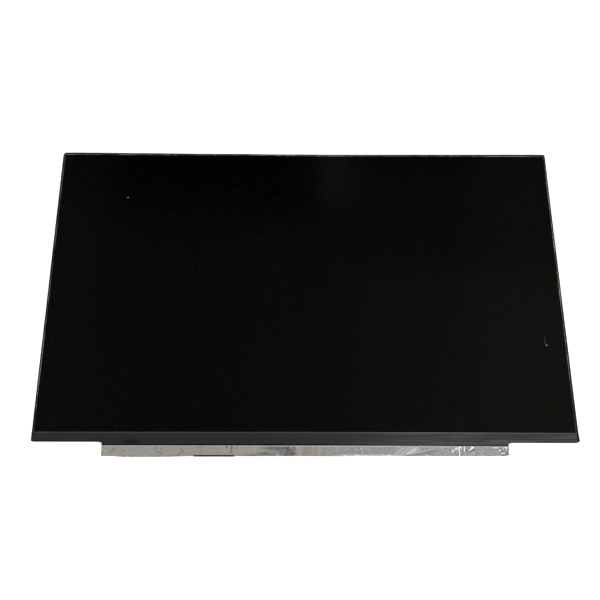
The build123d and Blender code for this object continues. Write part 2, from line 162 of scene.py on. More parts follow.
def makeFinish(name, fixed, paint):
    material = bpy.data.materials.new(name)
    material.use_nodes = True
    tree = material.node_tree
    shader = tree.nodes["Principled BSDF"]
    for socket, value in fixed.items():
        shader.inputs[socket].default_value = value
    metres = Sock(tree, tree.nodes.new("ShaderNodeTexCoord").outputs["Object"])
    place = metres.node("ShaderNodeVectorMath", {"operation": "SCALE"}, {0: metres, "Scale": 1000.0})
    for socket, value in paint(place).items():
        tree.links.new(value.out, shader.inputs[socket])
    return material


def grainFinish(name, look):  # two colours mixed by one grain, which roughens and raises the surface too
    def paint(place):
        grain = speckle(squeezed(place, look.get("stretch", (1.0, 1.0, 1.0))), *look["grain"])
        share = rise(grain, *look["patchy"]) if "patchy" in look else grain * look.get("share", 1.0)
        smooth, rougher = look["rough"]
        sockets = {"Base Color": mixColours(share, *look["colours"]), "Roughness": smooth + rougher * grain}
        if "relief" in look:
            sockets["Normal"] = relief(grain, *look["relief"])
        return sockets
    return makeFinish(name, look.get("fixed", {}), paint)


def dress(finish, *names):
    for name in names:
        slots = nodes[name].data.materials
        slots.clear()
        slots.append(finish)


def makePiece(name, bm, finishes, slot, *replaced):
    bmesh.ops.scale(bm, vec=(mm, mm, mm), verts=bm.verts)
    mesh = bpy.data.meshes.new(name)
    bm.to_mesh(mesh)
    bm.free()
    for finish in finishes:
        mesh.materials.append(finish)
    piece = bpy.data.objects.new(name, mesh)
    bpy.context.scene.collection.objects.link(piece)
    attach(piece, "root")
    if replaced:
        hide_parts(*replaced)
    print("panel: made", name, len(mesh.polygons), "faces")


def nodeBox(name):  # corners in millimetres
    low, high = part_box(name)
    return low / mm, high / mm


def addGrid(bm, left, right, low, high, columns, rows, level):
    middle = Matrix.Translation(((left + right) / 2, (low + high) / 2, level))
    size = Matrix.Diagonal((right - left, high - low, 1.0, 1.0))
    bmesh.ops.create_grid(bm, x_segments=columns, y_segments=rows, size=0.5, matrix=middle @ size)


def addBlock(bm, low, high):
    middle = Matrix.Translation((Vector(low) + Vector(high)) / 2)
    size = Matrix.Diagonal((*(Vector(high) - Vector(low)), 1.0))
    return bmesh.ops.create_cube(bm, size=1.0, matrix=middle @ size)["verts"]


def facesOf(verts):
    return list({face for vert in verts for face in vert.link_faces})


def softenFaces(bm, angle):
    for face in bm.faces:
        face.smooth = True
    for edge in bm.edges:
        edge.smooth = len(edge.link_faces) == 2 and edge.calc_face_angle() < math.radians(angle)


def thicken(bm, thickness):  # the sheet drawn is the outer face
    bmesh.ops.recalc_face_normals(bm, faces=bm.faces)
    if sum(face.normal.z for face in bm.faces) < 0:
        bmesh.ops.reverse_faces(bm, faces=bm.faces)
    bmesh.ops.solidify(bm, geom=bm.faces[:], thickness=thickness)


def stepBetween(points, at):  # smooth line through pairs of place and value
    if at <= points[0][0]:
        return points[0][1]
    for (startAt, startValue), (endAt, endValue) in zip(points, points[1:]):
        if at <= endAt:
            share = (at - startAt) / (endAt - startAt)
            return startValue + (endValue - startValue) * share * share * (3 - 2 * share)
    return points[-1][1]


def ridge(x, y, startX, startY, endX, endY, height, width):  # height over a straight fold
    runX, runY = endX - startX, endY - startY
    share = ((x - startX) * runX + (y - startY) * runY) / (runX * runX + runY * runY)
    share = min(max(share, 0.0), 1.0)
    away = math.hypot(x - startX - share * runX, y - startY - share * runY)
    if away >= width:
        return 0.0
    return height * (1 - away / width) ** 1.5


def ripple(x, y, size, seed):
    return noise.noise(Vector((x / size, y / size, seed)))


def islandBoxes(name):  # boxes of a node's separate solids, in millimetres
    bm = bmesh.new()
    bm.from_mesh(nodes[name].data)
    bmesh.ops.remove_doubles(bm, verts=bm.verts, dist=1e-6)
    left = set(bm.verts)
    boxes = []
    while left:
        group, edge = set(), [left.pop()]
        while edge:
            vert = edge.pop()
            group.add(vert)
            for link in vert.link_edges:
                other = link.other_vert(vert)
                if other in left:
                    left.discard(other)
                    edge.append(other)
        places = [vert.co / mm for vert in group]
        low = Vector([min(place[axis] for place in places) for axis in range(3)])
        high = Vector([max(place[axis] for place in places) for axis in range(3)])
        boxes.append((low, high))
    bm.free()
    return sorted(boxes, key=lambda box: (box[0].x, box[0].y))


# screen film: fine anti-glare grain, a little haze, and the dull marks of handling
screenLook = {
    "black": (0.0001, 0.0001, 0.0001),
    "haze": (0.004, 0.004, 0.0034),
    "fixed": {"Specular IOR Level": 0.065, "Specular Tint": (1.0, 1.0, 0.84, 1.0)},
    "grain": 1.3,
    "cloud": 0.012,
    "smudge": (99.5, -88.0, 2.5),
    "smudgeRadius": 7.0,
    "lowerHaze": (-90.0, 30.0),  # the haze is thicker towards the bottom of the screen
}


def paintScreen(place):
    grain = speckle(place, screenLook["grain"], 1.0)
    cloud = speckle(place, screenLook["cloud"], 3.0)
    smudge = spot(place, screenLook["smudge"], screenLook["smudgeRadius"]) * speckle(place, 0.6, 3.0)
    lowerHaze = fall(along(place, "Y"), *screenLook["lowerHaze"])
    haze = rise(grain, 0.5, 0.74) * 0.8 + lowerHaze * 0.1 + smudge * 0.8
    return {
        "Base Color": mixColours(haze, screenLook["black"], screenLook["haze"]),
        "Roughness": 0.12 + 0.02 * grain + 0.03 * cloud + 0.1 * smudge,
        "Normal": relief(grain, 0.1, 0.004),
    }


dress(makeFinish("antiGlareFilm", screenLook["fixed"], paintScreen), "front_polarizer")

# cell glass: only its bare margin shows, pale over the seal, with painted shade along the middle of the top
# edge
glassLook = {
    "fixed": {"IOR": 1.52, "Specular IOR Level": 0.1},
    "pale": (0.46, 0.46, 0.425),
    "dull": (0.05, 0.05, 0.045),
    "paleRight": (0.55, 0.514, 0.377),
    "dullRight": (0.08, 0.075, 0.055),
    "chip": (0.75, 0.72, 0.62),
    "mask": (0.0006, 0.0006, 0.0006),
    "maskWidth": 0.72,
    "maskSoft": 0.06,
    "maskSlip": 0.4,  # the film sits higher at the middle of the top edge
    "narrowLeft": 0.07,  # the margin is narrower up the left side and at the foot of the right side
    "narrowRight": 0.14,
    "widerRight": 0.1,
}


def paintGlass(place):
    high = nodeBox("front_polarizer")[1]
    inner = glassLook["maskWidth"] - glassLook["maskSoft"]
    outer = glassLook["maskWidth"] + glassLook["maskSoft"]
    x, y = along(place, "X"), along(place, "Y")
    outX, outY = abs(x) - high.x, y - high.y
    right = rise(x, high.x - 8.0, high.x)
    slip = glassLook["maskSlip"] * band(x, -20.0, 50.0, 30.0)
    narrow = (1.0 - right) * rise(y, -60.0, 40.0) * glassLook["narrowLeft"]
    narrow = narrow + right * fall(y, -75.0, -35.0) * glassLook["narrowRight"]
    narrow = narrow - right * band(y, 0.0, 50.0, 15.0) * glassLook["widerRight"]
    seal = rise(outX - narrow, inner, outer)
    seal = seal.maths("MAXIMUM", seal, rise(outY + slip, inner, outer))
    patchy = rise(speckle(place, 0.06, 4.0, 0.6) * 0.6 + speckle(place, 0.9, 2.0) * 0.4, 0.42, 0.58)
    top = rise(outY, 0.0, 0.1)
    base = layers(
        mixColours(right, glassLook["pale"], glassLook["paleRight"]),
        (patchy, mixColours(right, glassLook["dull"], glassLook["dullRight"])),
        (rise(speckle(place, 0.45, 2.0), 0.64, 0.7), glassLook["chip"]),
        (rise(x, 100.0, 140.0) * top * 0.12, glassLook["chip"]),
        # painted shade: the margin darkened along the middle of the top edge
        (band(x, -5.0, 75.0, 25.0) * top * 0.6, glassLook["dull"]),
    )
    return {
        "Base Color": mixColours(seal, glassLook["mask"], base),
        "Roughness": 0.16 + 0.2 * patchy,
    }


dress(makeFinish("cellGlassMargin", glassLook["fixed"], paintGlass), "colour_filter_glass", "array_glass")

# black edge tapes: fine woven grain and rubbed bends
tapeLook = {"black": (0.003, 0.003, 0.0034), "rubbed": (0.034, 0.032, 0.028)}


def paintBlackTape(place):
    grain = speckle(squeezed(place, (1.0, 0.4, 1.0)), 6.0, 3.0)
    rub = rise(speckle(place, 0.35, 4.0, 0.65), 0.52, 0.78)
    return {
        "Base Color": mixColours(rub * 0.7, tapeLook["black"], tapeLook["rubbed"]),
        "Roughness": 0.42 + 0.25 * grain,
        "Normal": relief(grain, 0.4, 0.01),
    }


blackTapeFinish = makeFinish("blackEdgeTape", {"Specular IOR Level": 0.12}, paintBlackTape)
dress(blackTapeFinish, "rim_tape")

# grey cover tape: satin film, paler towards the right as painted light, with painted highlights along its
# streaks, its sagging lower part and the right wing's fold, and a painted highlight along its upper cut edge
coverLook = {
    "left": (0.012, 0.0125, 0.014),
    "right": (0.03, 0.031, 0.034),
    "streakSheen": (0.105, 0.109, 0.117),
    "dark": (0.0015, 0.0015, 0.002),
    "fleck": (0.036, 0.037, 0.04),
    # colour of the painted highlights along the upper cut edge and the right wing's fold
    "cutEdge": (0.12, 0.12, 0.12),
    "shadowLine": ((0.0004, 0.0004, 0.0005), (0.003, 0.003, 0.0035)),
    "paintedLightRamp": (-40.0, 120.0),
    "dull": (-111.0, -98.8, 8.0, 2.4),  # middle and half sizes of a dark patch
    "foldLine": (-98.15, -97.85, 0.15),  # painted highlight along the right wing's fold: lower and upper side, softness
}


def paintCover(place):
    x, y = along(place, "X"), along(place, "Y")
    top = nodeBox("bottom_cover_tape")[1].y
    grain = speckle(squeezed(place, (0.3, 1.0, 1.0)), 2.2, 4.0, 0.7)
    drawn = speckle(squeezed(place, (0.03, 1.3, 1.0)), 1.0, 4.0, 0.6)
    # painted highlights along the drawn streaks, towards the right
    streakSheen = rise(drawn, 0.48, 0.64) * rise(x, 20.0, 110.0)
    # painted highlight over the sagging lower part, towards the right
    sagSheen = fall(y, -101.0, -97.5) * rise(x, 0.0, 80.0) * (1.0 - 0.6 * rise(x, 90.0, 125.0))
    # stretches of the right wing that get the painted fold highlight
    ends = band(x, 134.0, 147.0, 3.0) + 0.7 * band(x, 166.5, 173.0, 2.0)
    # painted highlight along the upper cut edge, stronger towards the right
    cut = rise(y, top - 0.95, top - 0.75) * (0.3 + 0.7 * rise(x, 10.0, 80.0))
    return {
        "Base Color": layers(
            # painted light: the tape grows paler towards the right
            mixColours(rise(x, *coverLook["paintedLightRamp"]), coverLook["left"], coverLook["right"]),
            (rise(grain, 0.42, 0.72) * 0.55, coverLook["fleck"]),
            (streakSheen * 0.6, coverLook["streakSheen"]),
            (sagSheen * 0.28, coverLook["streakSheen"]),
            (band(y, *coverLook["foldLine"]) * ends * 0.5, coverLook["cutEdge"]),
            (blot(wobbled(place, 0.3, 3.0), *coverLook["dull"]) * 0.9, coverLook["dark"]),
            (cut * 0.8, coverLook["cutEdge"]),
        ),
        "Roughness": 0.34 + 0.2 * grain + 0.12 * drawn,
        "Normal": relief(grain * 0.6 + drawn, 0.35, 0.02),
    }


# painted shadow along the tape's lower edge, where it stands over the foil, weaker towards the right
def paintShadowLine(place):
    shadowMottle = speckle(squeezed(place, (0.4, 2.0, 1.0)), 1.0, 3.0)
    black = mixColours(shadowMottle, *coverLook["shadowLine"])
    return {
        "Base Color": mixColours(rise(along(place, "X"), 0.0, 60.0) * 0.7, black, coverLook["right"]),
        "Roughness": 0.6 + 0.3 * shadowMottle,
    }


coverFinish = makeFinish("greyCoverTape", {"Specular IOR Level": 0.28}, paintCover)
shadowLineFinish = makeFinish("paintedShadowLine", {"Specular IOR Level": 0.04}, paintShadowLine)

# foil: rolled aluminium on thin film, tinted brown in places, with painted sheen, painted highlights on folds,
# crinkles and patches, and painted shade along dark folds and the lower edge
foilLook = {
    "bright": (0.8, 0.762, 0.667),
    "warm": (0.705, 0.664, 0.572),
    "cool": (0.487, 0.487, 0.46),
    "brown": (0.335, 0.3, 0.287),
    "umber": (0.2, 0.172, 0.165),
    "rust": (0.38, 0.26, 0.25),
    "steel": (0.27, 0.268, 0.28),
    "pink": (0.56, 0.485, 0.435),
    "pale": (0.78, 0.76, 0.7),
    "blue": (0.485, 0.503, 0.508),
    "mist": (0.73, 0.74, 0.72),
    "sky": (0.63, 0.67, 0.7),
    "highlightWhite": (0.95, 0.97, 1.0),
    "lip": (0.96, 0.93, 0.86),
    "ink": (0.09, 0.085, 0.075),
    "lipHighlight": (-101.9, -101.0, 0.25),  # painted highlight on the foil's lip under the tape's edge: lower and upper side, softness
    # colour, middle along the board, middle up the board, half length, half height, strength; the mist, blue
    # and sky patches are painted sheen
    "tintAndSheenPatches": (
        ("mist", -103.0, -104.3, 12.0, 6.0, 0.9),
        ("steel", -34.0, -107.3, 8.0, 1.1, 0.9),
        ("steel", -24.6, -106.5, 12.0, 2.0, 1.0),
        ("brown", -18.5, -102.3, 14.0, 3.6, 1.7),
        ("brown", -11.5, -104.4, 8.0, 7.0, 1.7),
        ("umber", -11.6, -103.4, 3.4, 2.8, 0.7),
        ("umber", -8.6, -106.3, 3.0, 1.8, 0.8),
        ("rust", -5.9, -103.8, 0.9, 3.0, 0.8),
        ("pale", -3.5, -104.0, 1.8, 2.8, 1.0),
        ("pink", -0.6, -104.9, 4.6, 5.5, 0.9),
        ("pink", 1.6, -102.9, 4.6, 5.0, 0.9),
        ("umber", -1.6, -106.9, 1.2, 0.8, 0.7),
        ("blue", 50.0, -104.3, 24.0, 6.0, 0.7),
        ("sky", 62.0, -104.3, 9.0, 6.0, 0.7),
        ("sky", 68.5, -104.4, 5.0, 3.0, 0.9),
    ),
    # painted highlights: middle along the board, middle up the board, half length, half height, strength
    "glintPatches": (
        (-130.2, -104.0, 0.8, 0.7, 1.0),
        (65.3, -106.0, 1.1, 0.9, 1.0),
        (67.4, -105.3, 1.1, 0.9, 0.5),
        (69.2, -104.4, 1.2, 1.0, 0.5),
        (70.6, -103.2, 3.0, 1.6, 0.25),
        (73.0, -103.6, 1.2, 0.8, 0.4),
        (77.0, -107.4, 2.6, 0.6, 0.7),
        (94.2, -104.3, 1.3, 2.0, 0.6),
        (96.4, -102.9, 1.8, 1.4, 0.9),
        (98.9, -102.0, 1.5, 0.9, 1.0),
        (106.9, -102.2, 1.6, 1.1, 1.2),
    ),
}


def paintFoil(place):
    x, y = along(place, "X"), along(place, "Y")
    foot = nodeBox("board_foil")[0].y
    rolled = speckle(squeezed(place, (0.12, 2.4, 1.0)), 1.0, 4.0, 0.6)
    mottle = speckle(place, 0.9, 4.0, 0.65)
    specksAndGlints = speckle(place, 1.5, 2.0)
    patchy = rise(speckle(squeezed(place, (0.35, 0.0, 0.0)), 1.0, 3.0), 0.48, 0.6)
    loose, jagged = wobbled(place, 0.5, 2.6), wobbled(place, 1.1, 1.5)
    crushed = rise(x, 2.0, 14.0)
    tone = place.node("ShaderNodeAttribute", {"attribute_name": "foldTone"}, {}, "Fac")
    # painted highlights: folds with a bright tone, the listed patches and a glint along the lower edge
    paintedGlint = rise(tone, 0.5, 1.0)
    spark = rise(mottle, 0.3, 0.55)
    for *oval, strength in foilLook["glintPatches"]:
        paintedGlint = paintedGlint.maths("MAXIMUM", paintedGlint, rise(blot(jagged, *oval), 0.05, 0.6) * (strength * spark))
    # painted glint along the lower edge, in patches
    glint = fall(y, foot + 0.3, foot + 1.3) * rise(x, 12.0, 32.0) * fall(x, 57.0, 62.0)
    paintedGlint = paintedGlint.maths("MAXIMUM", paintedGlint, glint * (0.4 + 0.4 * patchy))
    # painted shade along the lower edge at the left end
    lowerEdgeShade = fall(y, foot - 0.3, foot + 0.2) * patchy * fall(x, -20.0, 5.0)
    # tinted patches; the mist, blue and sky ones are painted sheen
    tintsAndSheen = [(blot(loose, *oval) * strength, foilLook[tint]) for tint, *oval, strength in foilLook["tintAndSheenPatches"]]
    base = layers(
        mixColours(rise(x, -132.0, -50.0), foilLook["bright"], foilLook["warm"]),
        (rise(x, -30.0, 40.0), foilLook["cool"]),
        *tintsAndSheen,
        (rise(mottle, 0.48, 0.7) * 0.3 + rise(rolled, 0.5, 0.75) * 0.12, foilLook["umber"]),
        # dark specks, and bright specks that are painted glints of the crinkled foil
        (fall(specksAndGlints, 0.3, 0.44) * (0.16 + 0.34 * crushed), foilLook["umber"]),
        (rise(specksAndGlints, 0.54, 0.68) * (0.14 + 0.46 * crushed), foilLook["highlightWhite"]),
        # painted highlight on the foil's lip under the tape's edge
        (band(y, *foilLook["lipHighlight"]) * 0.7, foilLook["lip"]),
        # dark brown lines along folds with a dark tone, partly painted shade beside the folds
        (fall(tone, -1.0, 0.0), foilLook["ink"]),
        (rise(tone, 0.0, 0.85), foilLook["highlightWhite"]),
        (paintedGlint, foilLook["highlightWhite"]),
        (lowerEdgeShade * 0.7, foilLook["umber"]),
    )
    return {
        "Base Color": base,
        "Roughness": 0.24 + 0.12 * rolled + 0.12 * mottle,
        "Metallic": 0.95 - 0.8 * paintedGlint,
        "Normal": relief(rolled * 0.3 + mottle * 0.4 + cells(loose, 0.8) * (0.2 + 0.9 * crushed), 0.5, 0.05),
    }


foilFinish = makeFinish("creasedFoil", {"Specular IOR Level": 0.4}, paintFoil)
print("panel: front finishes ready")


# edge tapes: pressed over the rim by hand, so the fold wanders and one end stands off
edgeStrip = {
    "cell": 1.6,
    "fold": 0.1,
    "lip": 0.58,
    "thickness": 0.05,
    "lift": (0.03, 9.0),  # height and length of the lip's waves
    "wander": (0.06, 4.0),  # depth and length of the wall's waves
    "overrun": 0.7,
    "sideReach": 0.85,  # side tapes run up to the top tape's lip, and the top tape out to their walls
    "topReach": 1.35,
    # place along the tape and how far it stands off there
    "left_edge_tape": ((-98.0, 0.22), (-20.0, 0.34), (50.0, 0.52), (106.0, 0.62)),
    "right_edge_tape": ((-98.7, 1.0), (-90.0, 0.58), (-50.0, 0.46), (0.0, 0.3), (106.0, 0.16)),
    "top_edge_tape": ((-174.0, 0.71), (-120.0, 0.54), (-70.0, 0.18), (-45.0, 0.22), (-20.0, 0.02), (30.0, 0.0),
                      (90.0, 0.36), (174.0, 0.74)),
}


def edgeSection(low, high, off, at, seed):  # from the lip's inner edge over the fold and down the wall
    (tall, wave), (deep, bend) = edgeStrip["lift"], edgeStrip["wander"]
    lift = tall * ripple(at, 0.0, wave, seed)
    off += deep * ripple(at, 0.0, bend, seed + 2.0)
    fold, lip = edgeStrip["fold"], edgeStrip["lip"]
    return ((lip, high.z), ((lip + fold - off) / 2, high.z + abs(lift)), (fold - off, high.z + lift * 0.5),
            (-off, high.z - fold), (-off * 0.8, (low.z + high.z) / 2), (-off * 0.2, low.z))


def makeEdgeTape(name, node, seed):
    low, high = nodeBox(node)
    top = high.x - low.x > high.y - low.y
    start, end = low.y - edgeStrip["overrun"], high.y + edgeStrip["sideReach"]
    if top:
        start, end = low.x - edgeStrip["topReach"], high.x + edgeStrip["topReach"]
    bm = bmesh.new()
    addGrid(bm, start, end, 0.0, 5.0, round((end - start) / edgeStrip["cell"]), 5, 0.0)
    for vert in bm.verts:
        at, row = vert.co.x, round(vert.co.y)
        inward, level = edgeSection(low, high, stepBetween(edgeStrip[node], at), at, seed)[row]
        if top:
            vert.co = at, high.y - inward, level
        elif low.x < 0:
            vert.co = low.x + inward, at, level
        else:
            vert.co = high.x - inward, at, level
    thicken(bm, edgeStrip["thickness"])
    softenFaces(bm, 70)
    makePiece(name, bm, [blackTapeFinish], "black_tape", node)


makeEdgeTape("leftTape", "left_edge_tape", 1.0)
makeEdgeTape("rightTape", "right_edge_tape", 5.0)
makeEdgeTape("topTape", "top_edge_tape", 9.0)

# cover tape: one strip over the lower rim, its middle hanging over the driver flexes, its ends folded down
coverStrip = {
    "cell": 0.5,
    "rows": 13,
    "apronRows": 3,
    "rampRun": 0.5,
    "rightReach": 0.35,
    "webLeft": -134.3,
    "webLeftDepth": 0.55,
    "webRight": 132.4,
    "webRightDepth": 0.7,
    # place along the strip and how far its upper cut, its fold and the apron's end wander there
    "upperCut": ((-174.0, -0.3), (-60.0, -0.2), (0.0, -0.1), (60.0, -0.25), (174.0, -0.5)),
    "foldDrop": ((-10.0, 0.0), (130.0, -0.25), (174.0, -0.3)),
    "apronDrop": ((-130.0, 0.12), (20.0, 0.12), (70.0, 0.0), (125.0, -0.2)),
    "webStart": 0.06,
    "cornerRun": 0.6,
    "cornerRise": 0.2,
    "ragged": (0.05, 9.0),  # depth and length of the lower edge's waves
    "foldReach": 0.4,  # a wing's lower edge lies this near the fold
    "shortEdge": 0.1,
    "apronSpare": 0.15,
    "sideEdge": 0.05,
    "droop": 0.28,
    "fold": 0.07,
    "foldEase": 0.03,
    "waves": 0.02,
    # width of the painted shadow along the lower edge
    "cutEdge": 0.45,
    # left end, right end, place down the strip, height, half width
    "streaks": (
        (88.0, 131.0, -95.4, 0.06, 0.65),
        (60.0, 118.0, -96.9, 0.045, 0.7),
        (96.0, 134.0, -97.6, 0.06, 0.6),
        (40.0, 92.0, -94.6, 0.035, 0.8),
        (112.0, 150.0, -96.2, 0.045, 0.65),
        (78.0, 98.0, -99.6, 0.06, 0.6),
        (20.0, 70.0, -98.2, 0.03, 0.7),
    ),
}


def coverLowEdge(x, foldLine, apronHalf, apronLow):
    start = coverStrip["webStart"]
    if x < -apronHalf:
        share = (x - coverStrip["webLeft"]) / (-apronHalf - coverStrip["webLeft"])
        return foldLine - start - (coverStrip["webLeftDepth"] - start) * max(share, 0.0) ** 1.5
    if x > apronHalf:
        share = (coverStrip["webRight"] - x) / (coverStrip["webRight"] - apronHalf)
        return foldLine - start - (coverStrip["webRightDepth"] - start) * max(share, 0.0) ** 1.3
    corner = max(0.0, 1.0 - (apronHalf - abs(x)) / coverStrip["cornerRun"])
    drop = stepBetween(coverStrip["apronDrop"], x) - stepBetween(coverStrip["foldDrop"], x)
    deep, wave = coverStrip["ragged"]
    return apronLow + drop + coverStrip["cornerRise"] * corner ** 2 + deep * ripple(x, 0.0, wave, 3.1)


def makeCoverTape():
    low, high = nodeBox("bottom_cover_tape")
    filmLow, filmHigh = nodeBox("front_polarizer")
    glassTop = nodeBox("colour_filter_glass")[1].z
    foldLine = nodeBox("mould_frame")[0].y - coverStrip["fold"]
    apronHalf = nodeBox("board_foil")[1].x + coverStrip["apronSpare"]
    thickness = high.z - filmHigh.z
    rightEnd = high.x + coverStrip["rightReach"]
    columns = round((rightEnd - low.x) / coverStrip["cell"])
    cell = (rightEnd - low.x) / columns
    webLeft = low.x + cell * round((coverStrip["webLeft"] - low.x) / cell)
    webRight = low.x + cell * round((coverStrip["webRight"] - low.x) / cell)
    bm = bmesh.new()
    addGrid(bm, low.x, rightEnd, foldLine, high.y, columns, coverStrip["rows"], 0.0)
    apronColumns = round((webRight - webLeft) / cell)
    addGrid(bm, webLeft, webRight, low.y, foldLine, apronColumns, coverStrip["apronRows"], 0.0)
    ramp = ((filmLow.y - coverStrip["rampRun"], glassTop), (filmLow.y, filmHigh.z))
    for vert in bm.verts:
        x, y = vert.co.x, vert.co.y
        if y < foldLine - 0.001:
            beyond = abs(x) - apronHalf
            if abs(beyond) < cell / 2:
                x = math.copysign(apronHalf, x)
            elif 0 < beyond < cell * 1.5:
                x = math.copysign(apronHalf + coverStrip["sideEdge"], x)
            share = (foldLine - y) / (foldLine - low.y)
            y = foldLine + (coverLowEdge(x, foldLine, apronHalf, low.y) - foldLine) * share
        level = stepBetween(ramp, y) + thickness
        wander = stepBetween(coverStrip["foldDrop"], x)
        if y > foldLine:
            share = (y - foldLine) / (high.y - foldLine)
            wander += (stepBetween(coverStrip["upperCut"], x) - wander) * share
        level -= coverStrip["droop"] * max(0.0, (foldLine - y) / (foldLine - low.y)) ** 1.4
        for left, right, at, tall, wide in coverStrip["streaks"]:
            level += ridge(x, y, left, at, right, at, tall, wide)
        level += coverStrip["waves"] * max(0.0, ripple(x * 0.25, y, 2.2, 7.7))
        vert.co = x, y + wander, level
    bmesh.ops.remove_doubles(bm, verts=bm.verts, dist=0.002)
    rim = []
    for edge in bm.edges:  # the wings' lower edges
        first, second = (vert.co for vert in edge.verts)
        onFold = all(abs(end.x) > apronHalf and abs(end.y - foldLine) < coverStrip["foldReach"]
                     for end in (first, second))
        level = abs(first.x - second.x) > coverStrip["shortEdge"]
        if edge.is_boundary and onFold and level and not webRight > first.x > webLeft:
            rim.append(edge)
    for turn in ("ease", "flap"):
        made = bmesh.ops.extrude_edge_only(bm, edges=rim)["geom"]
        fresh = {item for item in made if isinstance(item, bmesh.types.BMVert)}
        for vert in fresh:
            vert.co.z = low.z if turn == "flap" else vert.co.z - coverStrip["foldEase"]
        rim = [item for item in made if isinstance(item, bmesh.types.BMEdge) and fresh.issuperset(item.verts)]
    thicken(bm, thickness)
    # faces along the lower edge take the painted shadow finish
    for face in bm.faces:
        middle = face.calc_center_median()
        edge = low.y + stepBetween(coverStrip["apronDrop"], middle.x)
        if abs(middle.x) > apronHalf:
            edge = foldLine + stepBetween(coverStrip["foldDrop"], middle.x)
        if middle.y < edge + coverStrip["cutEdge"]:
            face.material_index = 1
    softenFaces(bm, 40)
    makePiece("coverTape", bm, [coverFinish, shadowLineFinish], "grey_tape", "bottom_cover_tape")


makeCoverTape()

